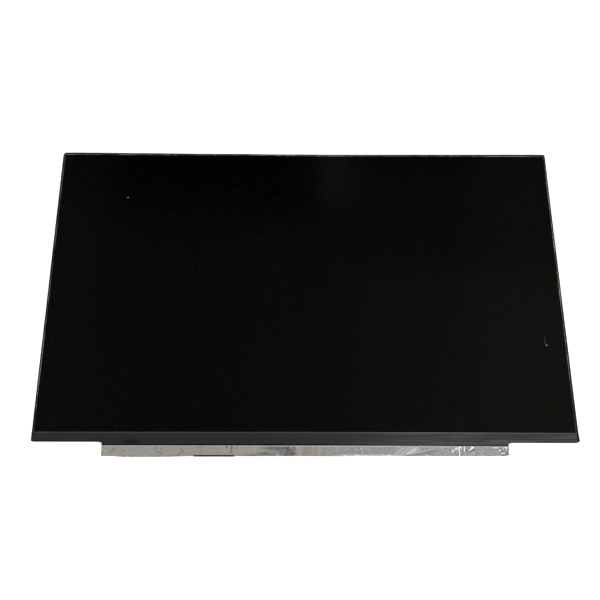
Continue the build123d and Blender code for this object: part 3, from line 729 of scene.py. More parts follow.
# foil over the board: places run from its left end and its lower edge
foilSheet = {
    "cell": 0.3,
    "rest": 0.01,
    "wave": 0.03,
    # folds: start and end in tenths of a millimetre; height, half width and tone in hundredths
    # a tone above 0 paints a highlight along the fold, below 0 a dark brown line that is partly painted shade
    "folds": (
        (78, 56, 78, 34, 3, 50, -64), (78, 34, 66, 25, 3, 50, -64), (66, 25, 43, 18, 3, 50, -59),
        (24, 33, 31, 25, 8, 65, 90), (130, 18, 144, 34, 3, 50, -48), (144, 34, 155, 25, 3, 50, -48),
        (220, 10, 240, 55, 4, 60, 30), (255, 15, 260, 45, 4, 60, 28), (345, 56, 346, 32, 3, 50, -69),
        (346, 32, 358, 24, 3, 50, -69), (358, 24, 385, 18, 3, 50, -64), (385, 18, 392, 4, 3, 50, -53),
        (382, 56, 380, 22, 3, 50, -48), (395, 52, 389, 26, 3, 50, -37), (497, 55, 511, 34, 3, 50, -69),
        (511, 34, 525, 23, 3, 50, -69), (525, 23, 499, 13, 3, 50, -59), (499, 13, 474, 3, 3, 50, -59),
        (604, 50, 641, 61, 4, 50, -59), (618, 18, 643, 29, 4, 50, -59), (641, 52, 665, 59, 4, 50, -48),
        (635, 10, 680, 26, 4, 50, -48), (660, 36, 715, 46, 4, 50, -37), (695, 12, 760, 24, 4, 50, -43),
        (795, 59, 797, 53, -3, 75, -130), (830, 59, 829, 42, -3, 75, -125),
        (827, 26, 827, 22, -3, 80, -150), (865, 56, 863, 42, 3, 50, -56), (1040, 32, 1190, 38, 10, 80, 30),
        (990, 34, 1100, 44, 6, 70, 25), (1207, 60, 1208, 45, 20, 70, 85), (1243, 56, 1240, 26, 14, 65, 50),
        (1182, 4, 1196, 62, 10, 60, -40), (1226, 4, 1220, 56, 10, 55, -45),
        (1200, 2, 1204, 42, 12, 50, -35), (1154, 10, 1164, 32, 10, 60, 40), (1114, 3, 1130, 8, 10, 60, 75),
        (1150, 2, 1158, 6, 10, 60, 75), (1330, 10, 1331, 60, 6, 50, -50), (1365, 6, 1364, 60, 6, 50, -50),
        (1292, 58, 1302, 52, 6, 50, -55), (1418, 54, 1434, 44, 6, 50, -45),
        (1948, 13, 1956, 18, 18, 80, 105), (1954, 14, 2016, 56, 14, 180, 52),
        (1946, 1, 2040, 15, -5, 90, -60), (1910, 8, 1980, 54, 8, 220, 42), (1870, 12, 1930, 56, 6, 200, 34),
        (1970, 12, 2122, 45, 10, 120, 46), (2122, 45, 2214, 58, 8, 100, 38),
        (2004, 7, 2146, 39, -8, 100, -52), (2050, 5, 2120, 18, -6, 90, -40),
        (2124, 6, 2227, 52, 15, 60, 55), (2136, 4, 2234, 45, -6, 60, -40),
        (2234, 30, 2280, 56, 26, 100, 85), (2242, 56, 2276, 36, 16, 80, 50),
        (2232, 22, 2264, 40, 18, 100, 60), (2258, 32, 2284, 46, 18, 80, 75),
        (2278, 58, 2298, 49, 26, 80, 120), (2284, 57, 2286, 5, 22, 90, 130),
        (2294, 2, 2295, 9, 10, 60, -100), (2276, 4, 2279, 34, 10, 60, -45),
        (2302, 59, 2302, 46, 18, 50, 85), (2318, 59, 2317, 30, 18, 85, 135),
        (2306, 10, 2308, 50, 10, 70, -45), (2327, 56, 2327, 40, 10, 60, -85),
        (2336, 8, 2338, 56, 10, 80, -45), (2356, 29, 2382, 46, -4, 70, -100),
        (2350, 37, 2377, 57, 30, 100, 150), (2366, 12, 2382, 28, 12, 80, 60),
        (2432, 60, 2433, 16, 12, 60, 50), (2409, 59, 2412, 57, 10, 55, 80),
        (2476, 59, 2479, 57, 10, 55, 80), (2446, 4, 2454, 16, 6, 60, -50),
        (2502, 53, 2533, 53, 12, 75, 120), (2568, 55, 2568, 46, 14, 75, 130),
        (2580, 55, 2590, 55, 16, 85, 160), (2590, 55, 2587, 39, 14, 75, 150),
        (2541, 37, 2549, 37, 16, 90, 150), (2556, 18, 2572, 18, 16, 85, 160),
        (2586, 1, 2596, 1, 10, 80, 140), (2530, 18, 2533, 18, 10, 70, 90),
        (2556, 29, 2562, 28, -4, 75, -130), (2577, 17, 2583, 13, -4, 70, -100),
        (2589, 12, 2598, 12, -4, 75, -100), (2597, 49, 2596, 39, -4, 65, -75),
        (2575, 47, 2580, 43, -4, 70, -85), (2534, 44, 2556, 50, -4, 70, -55),
        (2514, 32, 2517, 26, -4, 70, -60),
    ),
    # stretches of small folds: left end, right end, number, longest, height, tone, darkest
    "crumples": (
        (1.0, 60.0, 90, 1.6, 0.03, 0.26, -0.5), (60.0, 98.0, 60, 2.0, 0.03, 0.26, -0.5),
        (97.0, 128.0, 70, 2.4, 0.08, 0.4, -0.6), (126.0, 140.0, 40, 1.2, 0.06, 0.4, -0.6),
        (138.0, 168.0, 190, 1.0, 0.07, 0.55, -0.7), (168.0, 194.0, 120, 1.2, 0.06, 0.45, -0.7),
        (161.0, 171.0, 40, 0.4, 0.06, 0.9, -0.5),
        (194.0, 224.0, 70, 1.8, 0.06, 0.32, -0.6), (224.0, 248.0, 90, 1.4, 0.09, 0.5, -0.8),
        (250.0, 260.0, 120, 0.7, 0.16, 0.75, -0.9),
    ),
    "crumpleTop": 6.6,
    "seed": 11,
    # place along the foil and how far its lower edge hangs
    "lowEdge": ((0.0, 0.3), (8.0, 0.42), (12.0, 0.75), (20.0, 0.85), (34.0, 0.82), (40.0, 0.75), (52.0, 0.5),
                (58.4, 0.3), (58.8, -0.48), (84.4, -0.48), (84.8, 0.32), (110.0, 0.22), (130.0, 0.2),
                (155.0, 0.3), (180.0, 0.16), (203.0, 0.03), (260.0, 0.0)),
    "ragged": 0.1,
    "slip": -0.17,  # laid a little to the left
    "rightEnd": ((0.0, -0.15), (6.0, 0.2)),  # the right end leans out: place up the foil and shift there
    "sideRun": 0.8,  # how far from an end the slip dies out
    "sideRagged": 0.15,
    "hangReach": 2.5,
    "curl": 0.1,
    "curlReach": 0.5,
    "underTape": ((5.9, 0.0), (6.5, 1.0)),  # place up the foil and how flat the tape presses it
}


def foilFolds():
    rng = random.Random(foilSheet["seed"])
    folds = []
    for *ends, tall, width, bright in foilSheet["folds"]:
        folds.append((*(end / 10 for end in ends), tall / 100, width / 100, bright / 100))
    for left, right, count, longest, height, tone, darkest in foilSheet["crumples"]:
        for step in range(count):
            x, y = rng.uniform(left, right), rng.uniform(0.0, foilSheet["crumpleTop"])
            turn, length = rng.uniform(0.0, math.pi), rng.uniform(0.3, longest)
            tall = height * rng.uniform(-0.5, 1.0)
            width = rng.uniform(0.4, 0.75)
            bright = tone * rng.uniform(darkest, 1.0)
            endX, endY = x + length * math.cos(turn), y + length * math.sin(turn)
            folds.append((x, y, endX, endY, tall, width, bright))
    near = {}
    for fold in folds:
        startX, endX, reach = fold[0], fold[2], fold[5]
        first, last = int(min(startX, endX) - reach) - 1, int(max(startX, endX) + reach) + 1
        for step in range(first, last + 1):
            near.setdefault(step, []).append(fold)
    return near


def makeFoil():
    low, high = nodeBox("board_foil")
    columns = round((high.x - low.x) / foilSheet["cell"])
    rows = round((high.y - low.y) / foilSheet["cell"])
    near = foilFolds()
    bm = bmesh.new()
    addGrid(bm, low.x, high.x, low.y, high.y, columns, rows, 0.0)
    tones = bm.verts.layers.float.new("foldTone")
    for vert in bm.verts:
        across, up = vert.co.x - low.x, vert.co.y - low.y
        level = foilSheet["rest"] + foilSheet["wave"] * (0.5 + ripple(across * 0.5, up, 2.4, 1.3))
        tone = 0.0
        for *ends, tall, width, bright in near.get(int(across), ()):
            share = ridge(across, up, *ends, 1.0, width)
            level += tall * share
            if abs(bright * share) > abs(tone):
                tone = bright * share
        free = 1.0 - stepBetween(foilSheet["underTape"], up)
        level = max(0.0, level) * (0.1 + 0.9 * free)
        hang = stepBetween(foilSheet["lowEdge"], across)
        hang += foilSheet["ragged"] * ripple(across, 0.0, 1.1, 2.2)
        curl = foilSheet["curl"] * max(0.0, 1.0 - up / foilSheet["curlReach"])
        level -= curl * (1.0 if hang > 0.2 else 0.3)
        side = min(across, high.x - low.x - across)
        if side < foilSheet["sideRun"]:
            slip = foilSheet["slip"] if across == side else stepBetween(foilSheet["rightEnd"], up)
            slip += foilSheet["sideRagged"] * ripple(up, 3.0, 0.9, 8.4)
            vert.co.x += (1.0 - side / foilSheet["sideRun"]) * slip
        vert.co.y -= hang * max(0.0, 1.0 - up / foilSheet["hangReach"])
        vert.co.z = high.z + level
        vert[tones] = tone
    thicken(bm, high.z - low.z)
    softenFaces(bm, 60)
    makePiece("boardFoil", bm, [foilFinish], "foil", "board_foil")


makeFoil()

# dust left on the screen: four flakes and a fibre
dustBits = {
    # middle, half length, half width, turn and share of height of each flake
    "flakes": (
        (-126.2, 73.0, 0.48, 0.17, 0.15, 0.5),
        (-126.65, 72.55, 0.14, 0.34, 0.2, 0.5),
        (-158.7, -87.5, 0.13, 0.1, 1.2, 0.3),
        (161.5, -34.75, 0.56, 0.24, 1.75, 0.5),
    ),
    "ragged": 0.25,
    "fibre": ((161.55, -34.4), (161.0, -33.5), (160.55, -32.7),
              (160.45, -31.5), (160.55, -30.2), (160.65, -28.3)),
    "fibreRadius": 0.018,
    "look": {
        "colours": ((0.35, 0.35, 0.34), (0.7, 0.69, 0.67)),
        "grain": (3.0, 3.0),
        "rough": (0.7, 0.25),
        "fixed": {"Specular IOR Level": 0.2},
    },
}
dustFinish = grainFinish("greyDust", dustBits["look"])


def makeDust():
    top = nodeBox("front_polarizer")[1].z
    bm = bmesh.new()
    for x, y, long, wide, turn, tall in dustBits["flakes"]:
        shape = Matrix.Translation((x, y, top + wide * tall * 0.5)) @ Matrix.Rotation(turn, 4, "Z")
        shape = shape @ Matrix.Diagonal((long, wide, wide * tall, 1.0))
        made = bmesh.ops.create_icosphere(bm, subdivisions=2, radius=1.0, matrix=shape)["verts"]
        for vert in made:
            vert.co.x += dustBits["ragged"] * wide * ripple(vert.co.x, vert.co.y, 0.3, 1.0)
            vert.co.y += dustBits["ragged"] * wide * ripple(vert.co.x, vert.co.y, 0.3, 4.0)
            vert.co.z = max(vert.co.z, top)
    radius = dustBits["fibreRadius"]
    path = [Vector((x, y, top + radius * 0.8)) for x, y in dustBits["fibre"]]
    aim = (path[1] - path[0]).to_track_quat("Z", "Y").to_matrix().to_4x4()
    ring = bmesh.ops.create_circle(bm, cap_ends=True, segments=6, radius=radius,
                                   matrix=Matrix.Translation(path[0]) @ aim)["verts"]
    end = facesOf(ring)
    for start, stop in zip(path, path[1:]):
        made = bmesh.ops.extrude_face_region(bm, geom=end)["geom"]
        if start != path[0]:
            bmesh.ops.delete(bm, geom=end, context="FACES_ONLY")
        end = [item for item in made if isinstance(item, bmesh.types.BMFace)]
        fresh = [item for item in made if isinstance(item, bmesh.types.BMVert)]
        bmesh.ops.translate(bm, vec=stop - start, verts=fresh)
    bmesh.ops.recalc_face_normals(bm, faces=bm.faces)
    softenFaces(bm, 50)
    makePiece("screenDust", bm, [dustFinish], "milky_film")


makeDust()


# mould frame and socket body: spark-eroded matt plastic
plasticLook = {"black": (0.003, 0.003, 0.0034), "shine": (0.012, 0.012, 0.013)}
socketLook = {
    "colours": ((0.0022, 0.0022, 0.004), (0.006, 0.006, 0.009)),
    "stretch": (0.3, 1.0, 1.0),
    "grain": (2.0, 3.0),
    "rough": (0.4, 0.25),
    "relief": (0.2, 0.01),
    "fixed": {"Specular IOR Level": 0.15},
}


def paintPlastic(place):
    pits = speckle(place, 9.0, 3.0, 0.6)
    flow = speckle(squeezed(place, (0.05, 0.5, 0.5)), 1.0, 3.0)
    shine = rise(pits, 0.45, 0.8) * 0.6 + rise(flow, 0.5, 0.8) * 0.3
    return {
        "Base Color": mixColours(shine, plasticLook["black"], plasticLook["shine"]),
        "Roughness": 0.45 + 0.25 * pits,
        "Normal": relief(pits, 0.4, 0.015),
    }


dress(makeFinish("mattBlackPlastic", {"Specular IOR Level": 0.15}, paintPlastic), "mould_frame")
dress(grainFinish("socketPlastic", socketLook), "signal_insulator")

# back plate: rolled zinc-coated sheet
plateLook = {
    "bright": (0.6, 0.61, 0.62),
    "dull": (0.42, 0.43, 0.445),
    "mark": (0.33, 0.335, 0.34),
}


def paintPlate(place):
    rolled = speckle(squeezed(place, (0.04, 2.5, 2.5)), 1.0, 4.0, 0.65)
    tone = grey(cells(wobbled(place, 0.2, 2.0), 0.3, "F1", "Color"))
    scuff = rise(speckle(squeezed(place, (0.12, 0.9, 1.0), (0.0, 0.0, 0.6)), 1.0, 4.0, 0.7), 0.62, 0.8)
    base = mixColours(rolled * 0.8 + tone * 0.2, plateLook["dull"], plateLook["bright"])
    return {
        "Base Color": mixColours(scuff * 0.6, base, plateLook["mark"]),
        "Roughness": 0.28 + 0.16 * rolled + 0.06 * tone + 0.1 * scuff,
        "Normal": relief(rolled, 0.2, 0.006),
    }


dress(makeFinish("zincSheet", {"Metallic": 1.0}, paintPlate), "back_plate")

# optical films and guide: seen only where the module is opened
filmLook = {
    "clear": (0.72, 0.74, 0.74),
    "white": (0.88, 0.88, 0.88),
    "grain": {"share": 0.4, "rough": (0.3, 0.35), "relief": (0.2, 0.005)},
    # node of each sheet: finish, colour, shade and size of its grain
    "sheets": {
        "diffuser_sheet": ("milkyDiffuser", (0.83, 0.83, 0.82), (0.6, 0.6, 0.6), 6.0),
        "reflector_sheet": ("whiteReflector", (0.88, 0.88, 0.88), (0.7, 0.7, 0.7), 3.0),
        "rear_polarizer": ("rearPolarizer", (0.05, 0.054, 0.06), (0.02, 0.02, 0.022), 1.0),
    },
}


def paintPrism(axis):
    def paint(place):
        haze = speckle(place, 0.05, 3.0)
        return {
            "Base Color": mixColours(haze, filmLook["clear"], filmLook["white"]),
            "Roughness": 0.12 + 0.1 * haze,
            "Normal": relief(stripes(place, axis, 3.0), 0.3, 0.02),
        }
    return paint


def paintGuide(place):
    dots = fall(cells(place, 1.4), 0.18, 0.24)
    return {
        "Base Color": mixColours(dots, filmLook["clear"], filmLook["white"]),
        "Roughness": 0.08 + 0.4 * dots,
    }


dress(makeFinish("uprightPrismFilm", {"IOR": 1.56}, paintPrism("X")), "upper_prism_sheet")
dress(makeFinish("levelPrismFilm", {"IOR": 1.56}, paintPrism("Y")), "lower_prism_sheet")
for sheet, (finish, colour, shade, scale) in filmLook["sheets"].items():
    look = {**filmLook["grain"], "colours": (colour, shade), "grain": (scale, 3.0)}
    dress(grainFinish(finish, look), sheet)
dress(makeFinish("guidePlate", {"IOR": 1.49}, paintGuide), "light_guide")

# light bar: white-masked flexible strip with resin lamps
barLook = {
    "mask": (0.72, 0.72, 0.68),
    "copper": (0.55, 0.52, 0.42),
    "resin": (0.82, 0.8, 0.74),
    "phosphor": (0.75, 0.6, 0.12),
    "window": (-95.7, -95.55),  # where the resin gives way to the lamp's window
}


def paintBar(place):
    tracks = rise(stripes(place, "Y", 0.9), 0.55, 0.7)
    grain = speckle(place, 2.0, 3.0)
    return {
        "Base Color": mixColours(tracks * 0.35 + grain * 0.15, barLook["mask"], barLook["copper"]),
        "Roughness": 0.3 + 0.2 * grain,
        "Normal": relief(tracks, 0.3, 0.015),
    }


def paintLamp(place):
    window = rise(along(place, "Y"), *barLook["window"])
    return {
        "Base Color": mixColours(window, barLook["resin"], barLook["phosphor"]),
        "Roughness": 0.35 + 0.2 * speckle(place, 5.0, 2.0),
    }


dress(makeFinish("whiteMaskedFlex", {}, paintBar), "light_bar_flex")
dress(makeFinish("lampResin", {}, paintLamp), "light_bar_leds")

# driver flexes: amber film over fine copper lines
amberLook = {"film": (0.26, 0.1, 0.018), "copper": (0.45, 0.22, 0.06)}


def paintAmber(place):
    copper = rise(stripes(place, "X", 2.6), 0.4, 0.6)
    return {
        "Base Color": mixColours(copper, amberLook["film"], amberLook["copper"]),
        "Roughness": 0.18 + 0.15 * speckle(place, 0.4, 3.0),
        "Normal": relief(copper, 0.3, 0.01),
    }


dress(makeFinish("amberFlexFilm", {}, paintAmber), "driver_flexes")

# circuit board: green mask over copper, with tracks, fills and small through-holes, and painted shade on its
# front over the socket
boardLook = {
    "mask": (0.006, 0.05, 0.022),
    "track": (0.012, 0.105, 0.042),
    "copper": (0.55, 0.4, 0.16),
    "edge": (0.25, 0.22, 0.12),
    # ink is the colour of the painted shade over the socket
    "ink": (0.001, 0.001, 0.002),
    "bends": {"Distortion": 1.2, "Detail": 0.0, "Detail Scale": 0.12},
}


def paintBoard(place):
    low, high = nodeBox("timing_board")
    x, y = along(place, "X"), along(place, "Y")
    bus = rise(stripes(place, "Y", 0.62, boardLook["bends"]), 0.62, 0.72)
    fill = rise(cells(squeezed(place, (0.5, 1.0, 1.0)), 0.35, "DISTANCE_TO_EDGE"), 0.05, 0.07)
    tracks = bus * rise(speckle(place, 0.09, 1.0), 0.47, 0.5)
    copper = tracks * 0.8 + fill * 0.35
    ring = band(cells(place, 0.42), 0.07, 0.13, 0.01)
    rim = rise(abs(x), high.x - 0.03, high.x - 0.01) + fall(y, low.y + 0.01, low.y + 0.03)
    socketLow, socketHigh = nodeBox("signal_insulator")
    # painted shade: the board's front darkened over the socket
    ink = band(x, socketLow.x, socketHigh.x, 0.1) * rise(along(place, "Z"), high.z - 0.2, high.z - 0.1)
    base = layers(
        mixColours(copper, boardLook["mask"], boardLook["track"]),
        (ring * 0.8, boardLook["copper"]),
        (rim, boardLook["edge"]),
        (ink, boardLook["ink"]),
    )
    return {
        "Base Color": base,
        "Roughness": 0.24 + 0.1 * speckle(place, 3.0, 2.0),
        "Normal": relief(copper, 0.4, 0.03),
    }


dress(makeFinish("greenBoardMask", {"Specular IOR Level": 0.3}, paintBoard), "timing_board")

# plated metal: tinned shell, gold contacts, solder
metalLook = {
    "patchy": (0.4, 0.7),
    "rough": (0.2, 0.28),
    "relief": (0.2, 0.01),
    "fixed": {"Metallic": 1.0},
    # bright colour, dull colour and size of the tarnish
    "shell": ((0.64, 0.64, 0.63), (0.52, 0.52, 0.52), 1.8),
    "gold": ((0.83, 0.62, 0.27), (0.6, 0.42, 0.16), 1.6),
    "solder": ((0.7, 0.7, 0.69), (0.46, 0.46, 0.46), 3.0),
}


def metalFinish(name, kind):
    *colours, scale = metalLook[kind]
    return grainFinish(name, {**metalLook, "colours": colours, "grain": (scale, 4.0, 0.6)})


shellFinish = metalFinish("tinnedShell", "shell")
goldFinish = metalFinish("goldFlash", "gold")
solderFinish = metalFinish("tinSolder", "solder")
dress(shellFinish, "signal_shell")
dress(goldFinish, "signal_contacts")

# chip cases: moulded black with a polished dot at the first pin
caseLook = {
    "black": (0.013, 0.013, 0.0135),
    "grey": (0.03, 0.03, 0.031),
    "dot": (0.05, 0.05, 0.05),
    "dotInset": 0.75,
    "dotRadius": 0.42,
    "tin": (0.62, 0.62, 0.61),
    "memoryHalf": 1.72,  # half widths of the cases that have legs
    "diodeHalf": 1.31,
    "fixed": {"Specular IOR Level": 0.4},
}


def paintCase(name):
    def paint(place):
        low, high = nodeBox(name)
        pits = speckle(place, 7.0, 3.0, 0.6)
        inset = caseLook["dotInset"]
        dot = spot(place, (low.x + inset, high.y - inset, low.z), caseLook["dotRadius"])
        dot = rise(dot, 0.15, 0.25)
        base = mixColours(rise(pits, 0.4, 0.75), caseLook["black"], caseLook["grey"])
        return {
            "Base Color": mixColours(dot, base, caseLook["dot"]),
            "Roughness": 0.5 + 0.2 * pits - 0.3 * dot,
            "Normal": relief(pits * (1.0 - dot) - dot, 0.4, 0.02),
        }
    return paint


for chip in ("timing_controller", "power_chip", "backlight_driver", "gamma_chip"):
    dress(makeFinish(chip + "Case", caseLook["fixed"], paintCase(chip)), chip)


def paintLeaded(axis, middles, half):  # tinned legs outside the cases
    def paint(place):
        pits = speckle(place, 7.0, 3.0, 0.6)
        legs = rise(abs(along(place, axis) - middles[0]), half, half + 0.02)
        for middle in middles[1:]:
            legs = legs * rise(abs(along(place, axis) - middle), half, half + 0.02)
        base = mixColours(pits, caseLook["black"], caseLook["grey"])
        return {
            "Base Color": mixColours(legs, base, caseLook["tin"]),
            "Roughness": 0.45 + 0.2 * pits - 0.15 * legs,
            "Metallic": legs,
            "Normal": relief(pits, 0.3, 0.02),
        }
    return paint


def middleOf(box, axis):
    return (box[0][axis] + box[1][axis]) / 2


memoryMiddles = [middleOf(nodeBox("memory_chip"), 1)]
memoryPaint = paintLeaded("Y", memoryMiddles, caseLook["memoryHalf"])
dress(makeFinish("memoryCase", caseLook["fixed"], memoryPaint), "memory_chip")
diodeMiddles = [middleOf(box, 0) for box in islandBoxes("rectifier_diodes")]
diodePaint = paintLeaded("X", diodeMiddles, caseLook["diodeHalf"])
dress(makeFinish("diodeCase", caseLook["fixed"], diodePaint), "rectifier_diodes")

# bare silicon, sintered ferrite and fired ceramics
siliconLook = {
    "colours": ((0.05, 0.055, 0.07), (0.1, 0.1, 0.12)),
    "stretch": (0.1, 1.0, 1.0),
    "grain": (1.0, 3.0),
    "rough": (0.12, 0.12),
    "fixed": {"Metallic": 0.3},
}
ferriteLook = {
    "colours": ((0.03, 0.03, 0.031), (0.085, 0.085, 0.09)),
    "grain": (5.0, 4.0, 0.7),
    "rough": (0.5, 0.3),
    "relief": (0.5, 0.03),
}
ceramicLook = {"grain": (4.0, 3.0), "rough": (0.4, 0.2), "relief": (0.2, 0.01)}
tanLook = {**ceramicLook, "colours": ((0.26, 0.16, 0.09), (0.42, 0.29, 0.18))}
aluminaLook = {**ceramicLook, "colours": ((0.62, 0.61, 0.58), (0.75, 0.74, 0.7))}
glazeLook = {
    **ceramicLook,
    "colours": ((0.01, 0.01, 0.011), (0.022, 0.022, 0.023)),
    "fixed": {"Specular IOR Level": 0.5},
}
dress(grainFinish("bareSilicon", siliconLook), "driver_chips")
dress(grainFinish("sinteredFerrite", ferriteLook), "power_inductors")
tanFinish = grainFinish("tanCeramic", tanLook)
aluminaFinish = grainFinish("whiteAlumina", aluminaLook)
glazeFinish = grainFinish("blackGlaze", glazeLook)
print("panel: inner finishes ready")


# small parts on the board's rear: a body between two soldered caps
smallPart = {
    "capShare": 0.24,
    "capProud": 0.02,
    "edge": 0.03,
    "filletReach": 0.22,
    "filletShare": 0.55,
    "filletTop": 0.03,
    "sink": 0.02,  # how far a fillet goes into its cap
}


def addSmallPart(bm, low, high, bodyIndex, topIndex, capIndex):
    axis = 0 if high.x - low.x > high.y - low.y else 1
    length = high[axis] - low[axis]
    cap = length * smallPart["capShare"]
    proud = smallPart["capProud"]
    bodyLow, bodyHigh = Vector(low), Vector(high)
    for other in range(3):
        bodyLow[other] += proud
        bodyHigh[other] -= proud
    bodyLow[axis] = low[axis] + cap * 0.5
    bodyHigh[axis] = high[axis] - cap * 0.5
    bodyHigh.z = high.z
    for face in facesOf(addBlock(bm, bodyLow, bodyHigh)):
        face.material_index = topIndex if face.normal.z < -0.5 else bodyIndex
    for end in (0, 1):
        capLow, capHigh = Vector(low), Vector(high)
        if end:
            capLow[axis] = high[axis] - cap
        else:
            capHigh[axis] = low[axis] + cap
        verts = addBlock(bm, capLow, capHigh)
        edges = list({edge for vert in verts for edge in vert.link_edges})
        made = bmesh.ops.bevel(bm, geom=edges, offset=smallPart["edge"], affect="EDGES", segments=1,
                               profile=0.5, material=-1)
        for face in facesOf([vert for face in made["faces"] for vert in face.verts]):
            face.material_index = capIndex
        outward = 1.0 if end else -1.0
        rim = high[axis] if end else low[axis]
        footLow, footHigh = Vector(low), Vector(high)
        footLow.z = high.z - (high.z - low.z) * smallPart["filletShare"]
        reach = rim + outward * smallPart["filletReach"]
        inner = rim - outward * smallPart["sink"]
        footLow[axis], footHigh[axis] = min(reach, inner), max(reach, inner)
        verts = addBlock(bm, footLow, footHigh)
        for vert in verts:
            if vert.co.z < high.z - 0.01 and abs(vert.co[axis] - reach) < 0.01:
                vert.co[axis] = rim + outward * smallPart["filletTop"]
                vert.co.z = footLow.z
        for face in facesOf(verts):
            face.material_index = capIndex


def makeSmallParts(name, node, slot, finishes):
    bm = bmesh.new()
    for low, high in islandBoxes(node):
        addSmallPart(bm, low, high, 0, 1, 2)
    bmesh.ops.recalc_face_normals(bm, faces=bm.faces)
    makePiece(name, bm, finishes, slot, node)


makeSmallParts("bulkCapacitors", "bulk_capacitors", "ceramic_tan", [tanFinish, tanFinish, solderFinish])
makeSmallParts("smallCapacitors", "small_capacitors", "ceramic_tan", [tanFinish, tanFinish, solderFinish])
makeSmallParts("chipResistors", "chip_resistors", "chip_case", [aluminaFinish, glazeFinish, solderFinish])

# solder lands round the leadless chips, and round test pads
boardLands = {
    "chips": {"timing_controller": 12, "power_chip": 8, "backlight_driver": 6, "gamma_chip": 6},
    "width": 0.24,
    "inside": 0.1,
    "outside": 0.28,
    "height": 0.05,
    "chipMargin": 0.8,
    "testRadius": 0.45,
    "testSides": 20,
    # rows of test pads: first place along and up the board, pitch, number
    "testRows": (
        (-94.0, -101.2, 3.0, 6),
        (-92.5, -105.4, 4.5, 4),
        (54.0, -101.4, 3.0, 6),
        (55.5, -105.2, 6.0, 3),
        (118.0, -104.4, 3.0, 3),
    ),
}


def makeLands():
    rear = nodeBox("timing_board")[0].z
    bm = bmesh.new()
    for chip, count in boardLands["chips"].items():
        low, high = nodeBox(chip)
        middle = (low + high) / 2
        pitch = (high.x - low.x - boardLands["chipMargin"]) / (count - 1)
        for step in range(count):
            at = -(count - 1) / 2 * pitch + step * pitch
            for side in (-1, 1):
                for axis in (0, 1):
                    other = 1 - axis
                    rim = high[axis] if side > 0 else low[axis]
                    padLow, padHigh = Vector((0, 0, rear - boardLands["height"])), Vector((0, 0, rear))
                    ends = (rim - side * boardLands["inside"], rim + side * boardLands["outside"])
                    padLow[axis], padHigh[axis] = min(ends), max(ends)
                    padLow[other] = middle[other] + at - boardLands["width"] / 2
                    padHigh[other] = middle[other] + at + boardLands["width"] / 2
                    addBlock(bm, padLow, padHigh)
    radius, height = boardLands["testRadius"], boardLands["height"]
    for left, y, pitch, count in boardLands["testRows"]:
        for step in range(count):
            shape = Matrix.Translation((left + step * pitch, y, rear - height / 2))
            made = bmesh.ops.create_cone(bm, cap_ends=True, segments=boardLands["testSides"], radius1=radius,
                                         radius2=radius, depth=height, matrix=shape)
            for face in facesOf(made["verts"]):
                face.material_index = 1
    bmesh.ops.recalc_face_normals(bm, faces=bm.faces)
    makePiece("boardLands", bm, [solderFinish, goldFinish], "contact_gold")


makeLands()


# pale floor, soft lights and the camera
studio = {
    "white": (1.0, 1.0, 1.0, 1.0),
    "walls": 0.6,
    "ceiling": 0.03,
    "ceilingFrom": (0.3, 0.7),
    "floorSize": 14.0,
    "paper": {
        "colours": ((0.93, 0.93, 0.93), (0.96, 0.96, 0.96)),
        "grain": (0.004, 3.0),
        "rough": (0.8, 0.1),
        "fixed": {
            "Specular IOR Level": 0.1,
            "Emission Color": (1.0, 1.0, 1.0, 1.0),
            "Emission Strength": 0.45,
        },
    },
    # overhead panels: name, left, right, near and far edges, brightness
    "overhead": 1.3,
    "panels": (
        ("overheadLeftEdge", -0.75, -0.53, -0.68, 0.715, 0.54),
        ("overheadLeftFar", -0.75, -0.53, 0.715, 0.95, 0.32),
        ("overheadLeft", -0.53, -0.134, -0.68, 0.665, 0.36),
        ("overheadMiddle", -0.134, 0.156, -0.68, 0.645, 0.46),
        ("overheadRight", 0.156, 0.45, -0.68, 0.5, 0.71),
        ("overheadRightEdge", 0.45, 0.85, -0.68, 0.5, 1.03),
        ("overheadRightFar", 0.156, 0.5, 0.5, 0.82, 0.4),
        ("overheadCorner", 0.5, 0.85, 0.5, 0.9, 0.6),
        ("overheadStreak", 0.07, 0.14, 0.68, 1.0, 1.25),
    ),
    # side lights: name, place, size, brightness
    "sides": (
        ("keyRight", (1.0, -1.0, 0.75), 0.8, 8.0),
        ("fillLeft", (-1.1, -0.8, 0.7), 0.8, 7.0),
        ("backRight", (1.3, 1.0, 0.5), 0.8, 6.0),
        ("backLeft", (-1.3, 0.9, 0.5), 0.8, 6.0),
    ),
}
cameraView = {"place": (-7.3, -148.6, 455.2), "turn": (17.762, -0.478, 0.046), "lens": 41.85, "sensor": 36.0}


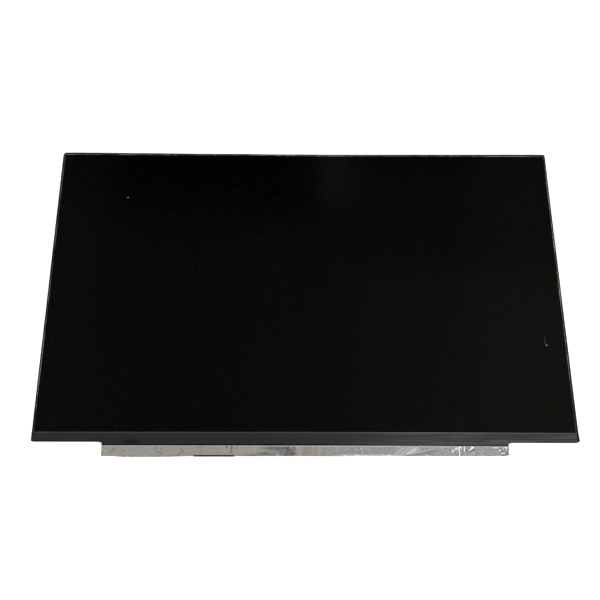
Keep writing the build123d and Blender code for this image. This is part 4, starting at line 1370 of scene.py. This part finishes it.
def addLight(name, place, width, depth, brightness):  # points straight down until turned
    light = bpy.data.lights.new(name, "AREA")
    light.shape = "RECTANGLE"
    light.size, light.size_y = width, depth
    light.energy = brightness * math.pi * width * depth
    lamp = bpy.data.objects.new(name, light)
    lamp.location = place
    bpy.context.scene.collection.objects.link(lamp)
    return lamp


def makeStudio():
    scene = bpy.context.scene
    scene.view_settings.view_transform = "Standard"
    bm = bmesh.new()
    bmesh.ops.create_grid(bm, x_segments=1, y_segments=1, size=studio["floorSize"] / 2)
    mesh = bpy.data.meshes.new("paleFloor")
    bm.to_mesh(mesh)
    bm.free()
    mesh.materials.append(grainFinish("palePaper", studio["paper"]))
    floor = bpy.data.objects.new("paleFloor", mesh)
    scene.collection.objects.link(floor)
    scene.world = bpy.data.worlds.new("softRoom")
    scene.world.use_nodes = True
    tree = scene.world.node_tree
    tree.nodes.remove(tree.nodes["Background"])
    toward = Sock(tree, tree.nodes.new("ShaderNodeTexCoord").outputs["Generated"])
    shades = {0: rise(along(toward, "Z"), *studio["ceilingFrom"])}
    for slot, part in enumerate(("walls", "ceiling"), 1):
        glow = {"Color": studio["white"], "Strength": studio[part]}
        shades[slot] = toward.node("ShaderNodeBackground", {}, glow)
    room = toward.node("ShaderNodeMixShader", {}, shades)
    tree.links.new(room.out, tree.nodes["World Output"].inputs["Surface"])
    for name, left, right, near, far, brightness in studio["panels"]:
        place = ((left + right) / 2, (near + far) / 2, studio["overhead"])
        addLight(name, place, right - left, far - near, brightness)
    for name, place, size, brightness in studio["sides"]:
        lamp = addLight(name, place, size, size, brightness)
        lamp.rotation_euler = (-Vector(place)).to_track_quat("-Z", "Y").to_euler()
        lamp.visible_glossy = False  # fills the shadows without standing in the screen's gloss
    lens = bpy.data.cameras.new("photoCamera")
    lens.lens, lens.sensor_width = cameraView["lens"], cameraView["sensor"]
    lens.clip_start, lens.clip_end = 0.01, 20.0
    camera = bpy.data.objects.new("photoCamera", lens)
    camera.location = Vector(cameraView["place"]) * mm
    camera.rotation_euler = Euler([math.radians(turn) for turn in cameraView["turn"]], "XYZ")
    scene.collection.objects.link(camera)
    scene.camera = camera


makeStudio()
print("panel: studio ready")
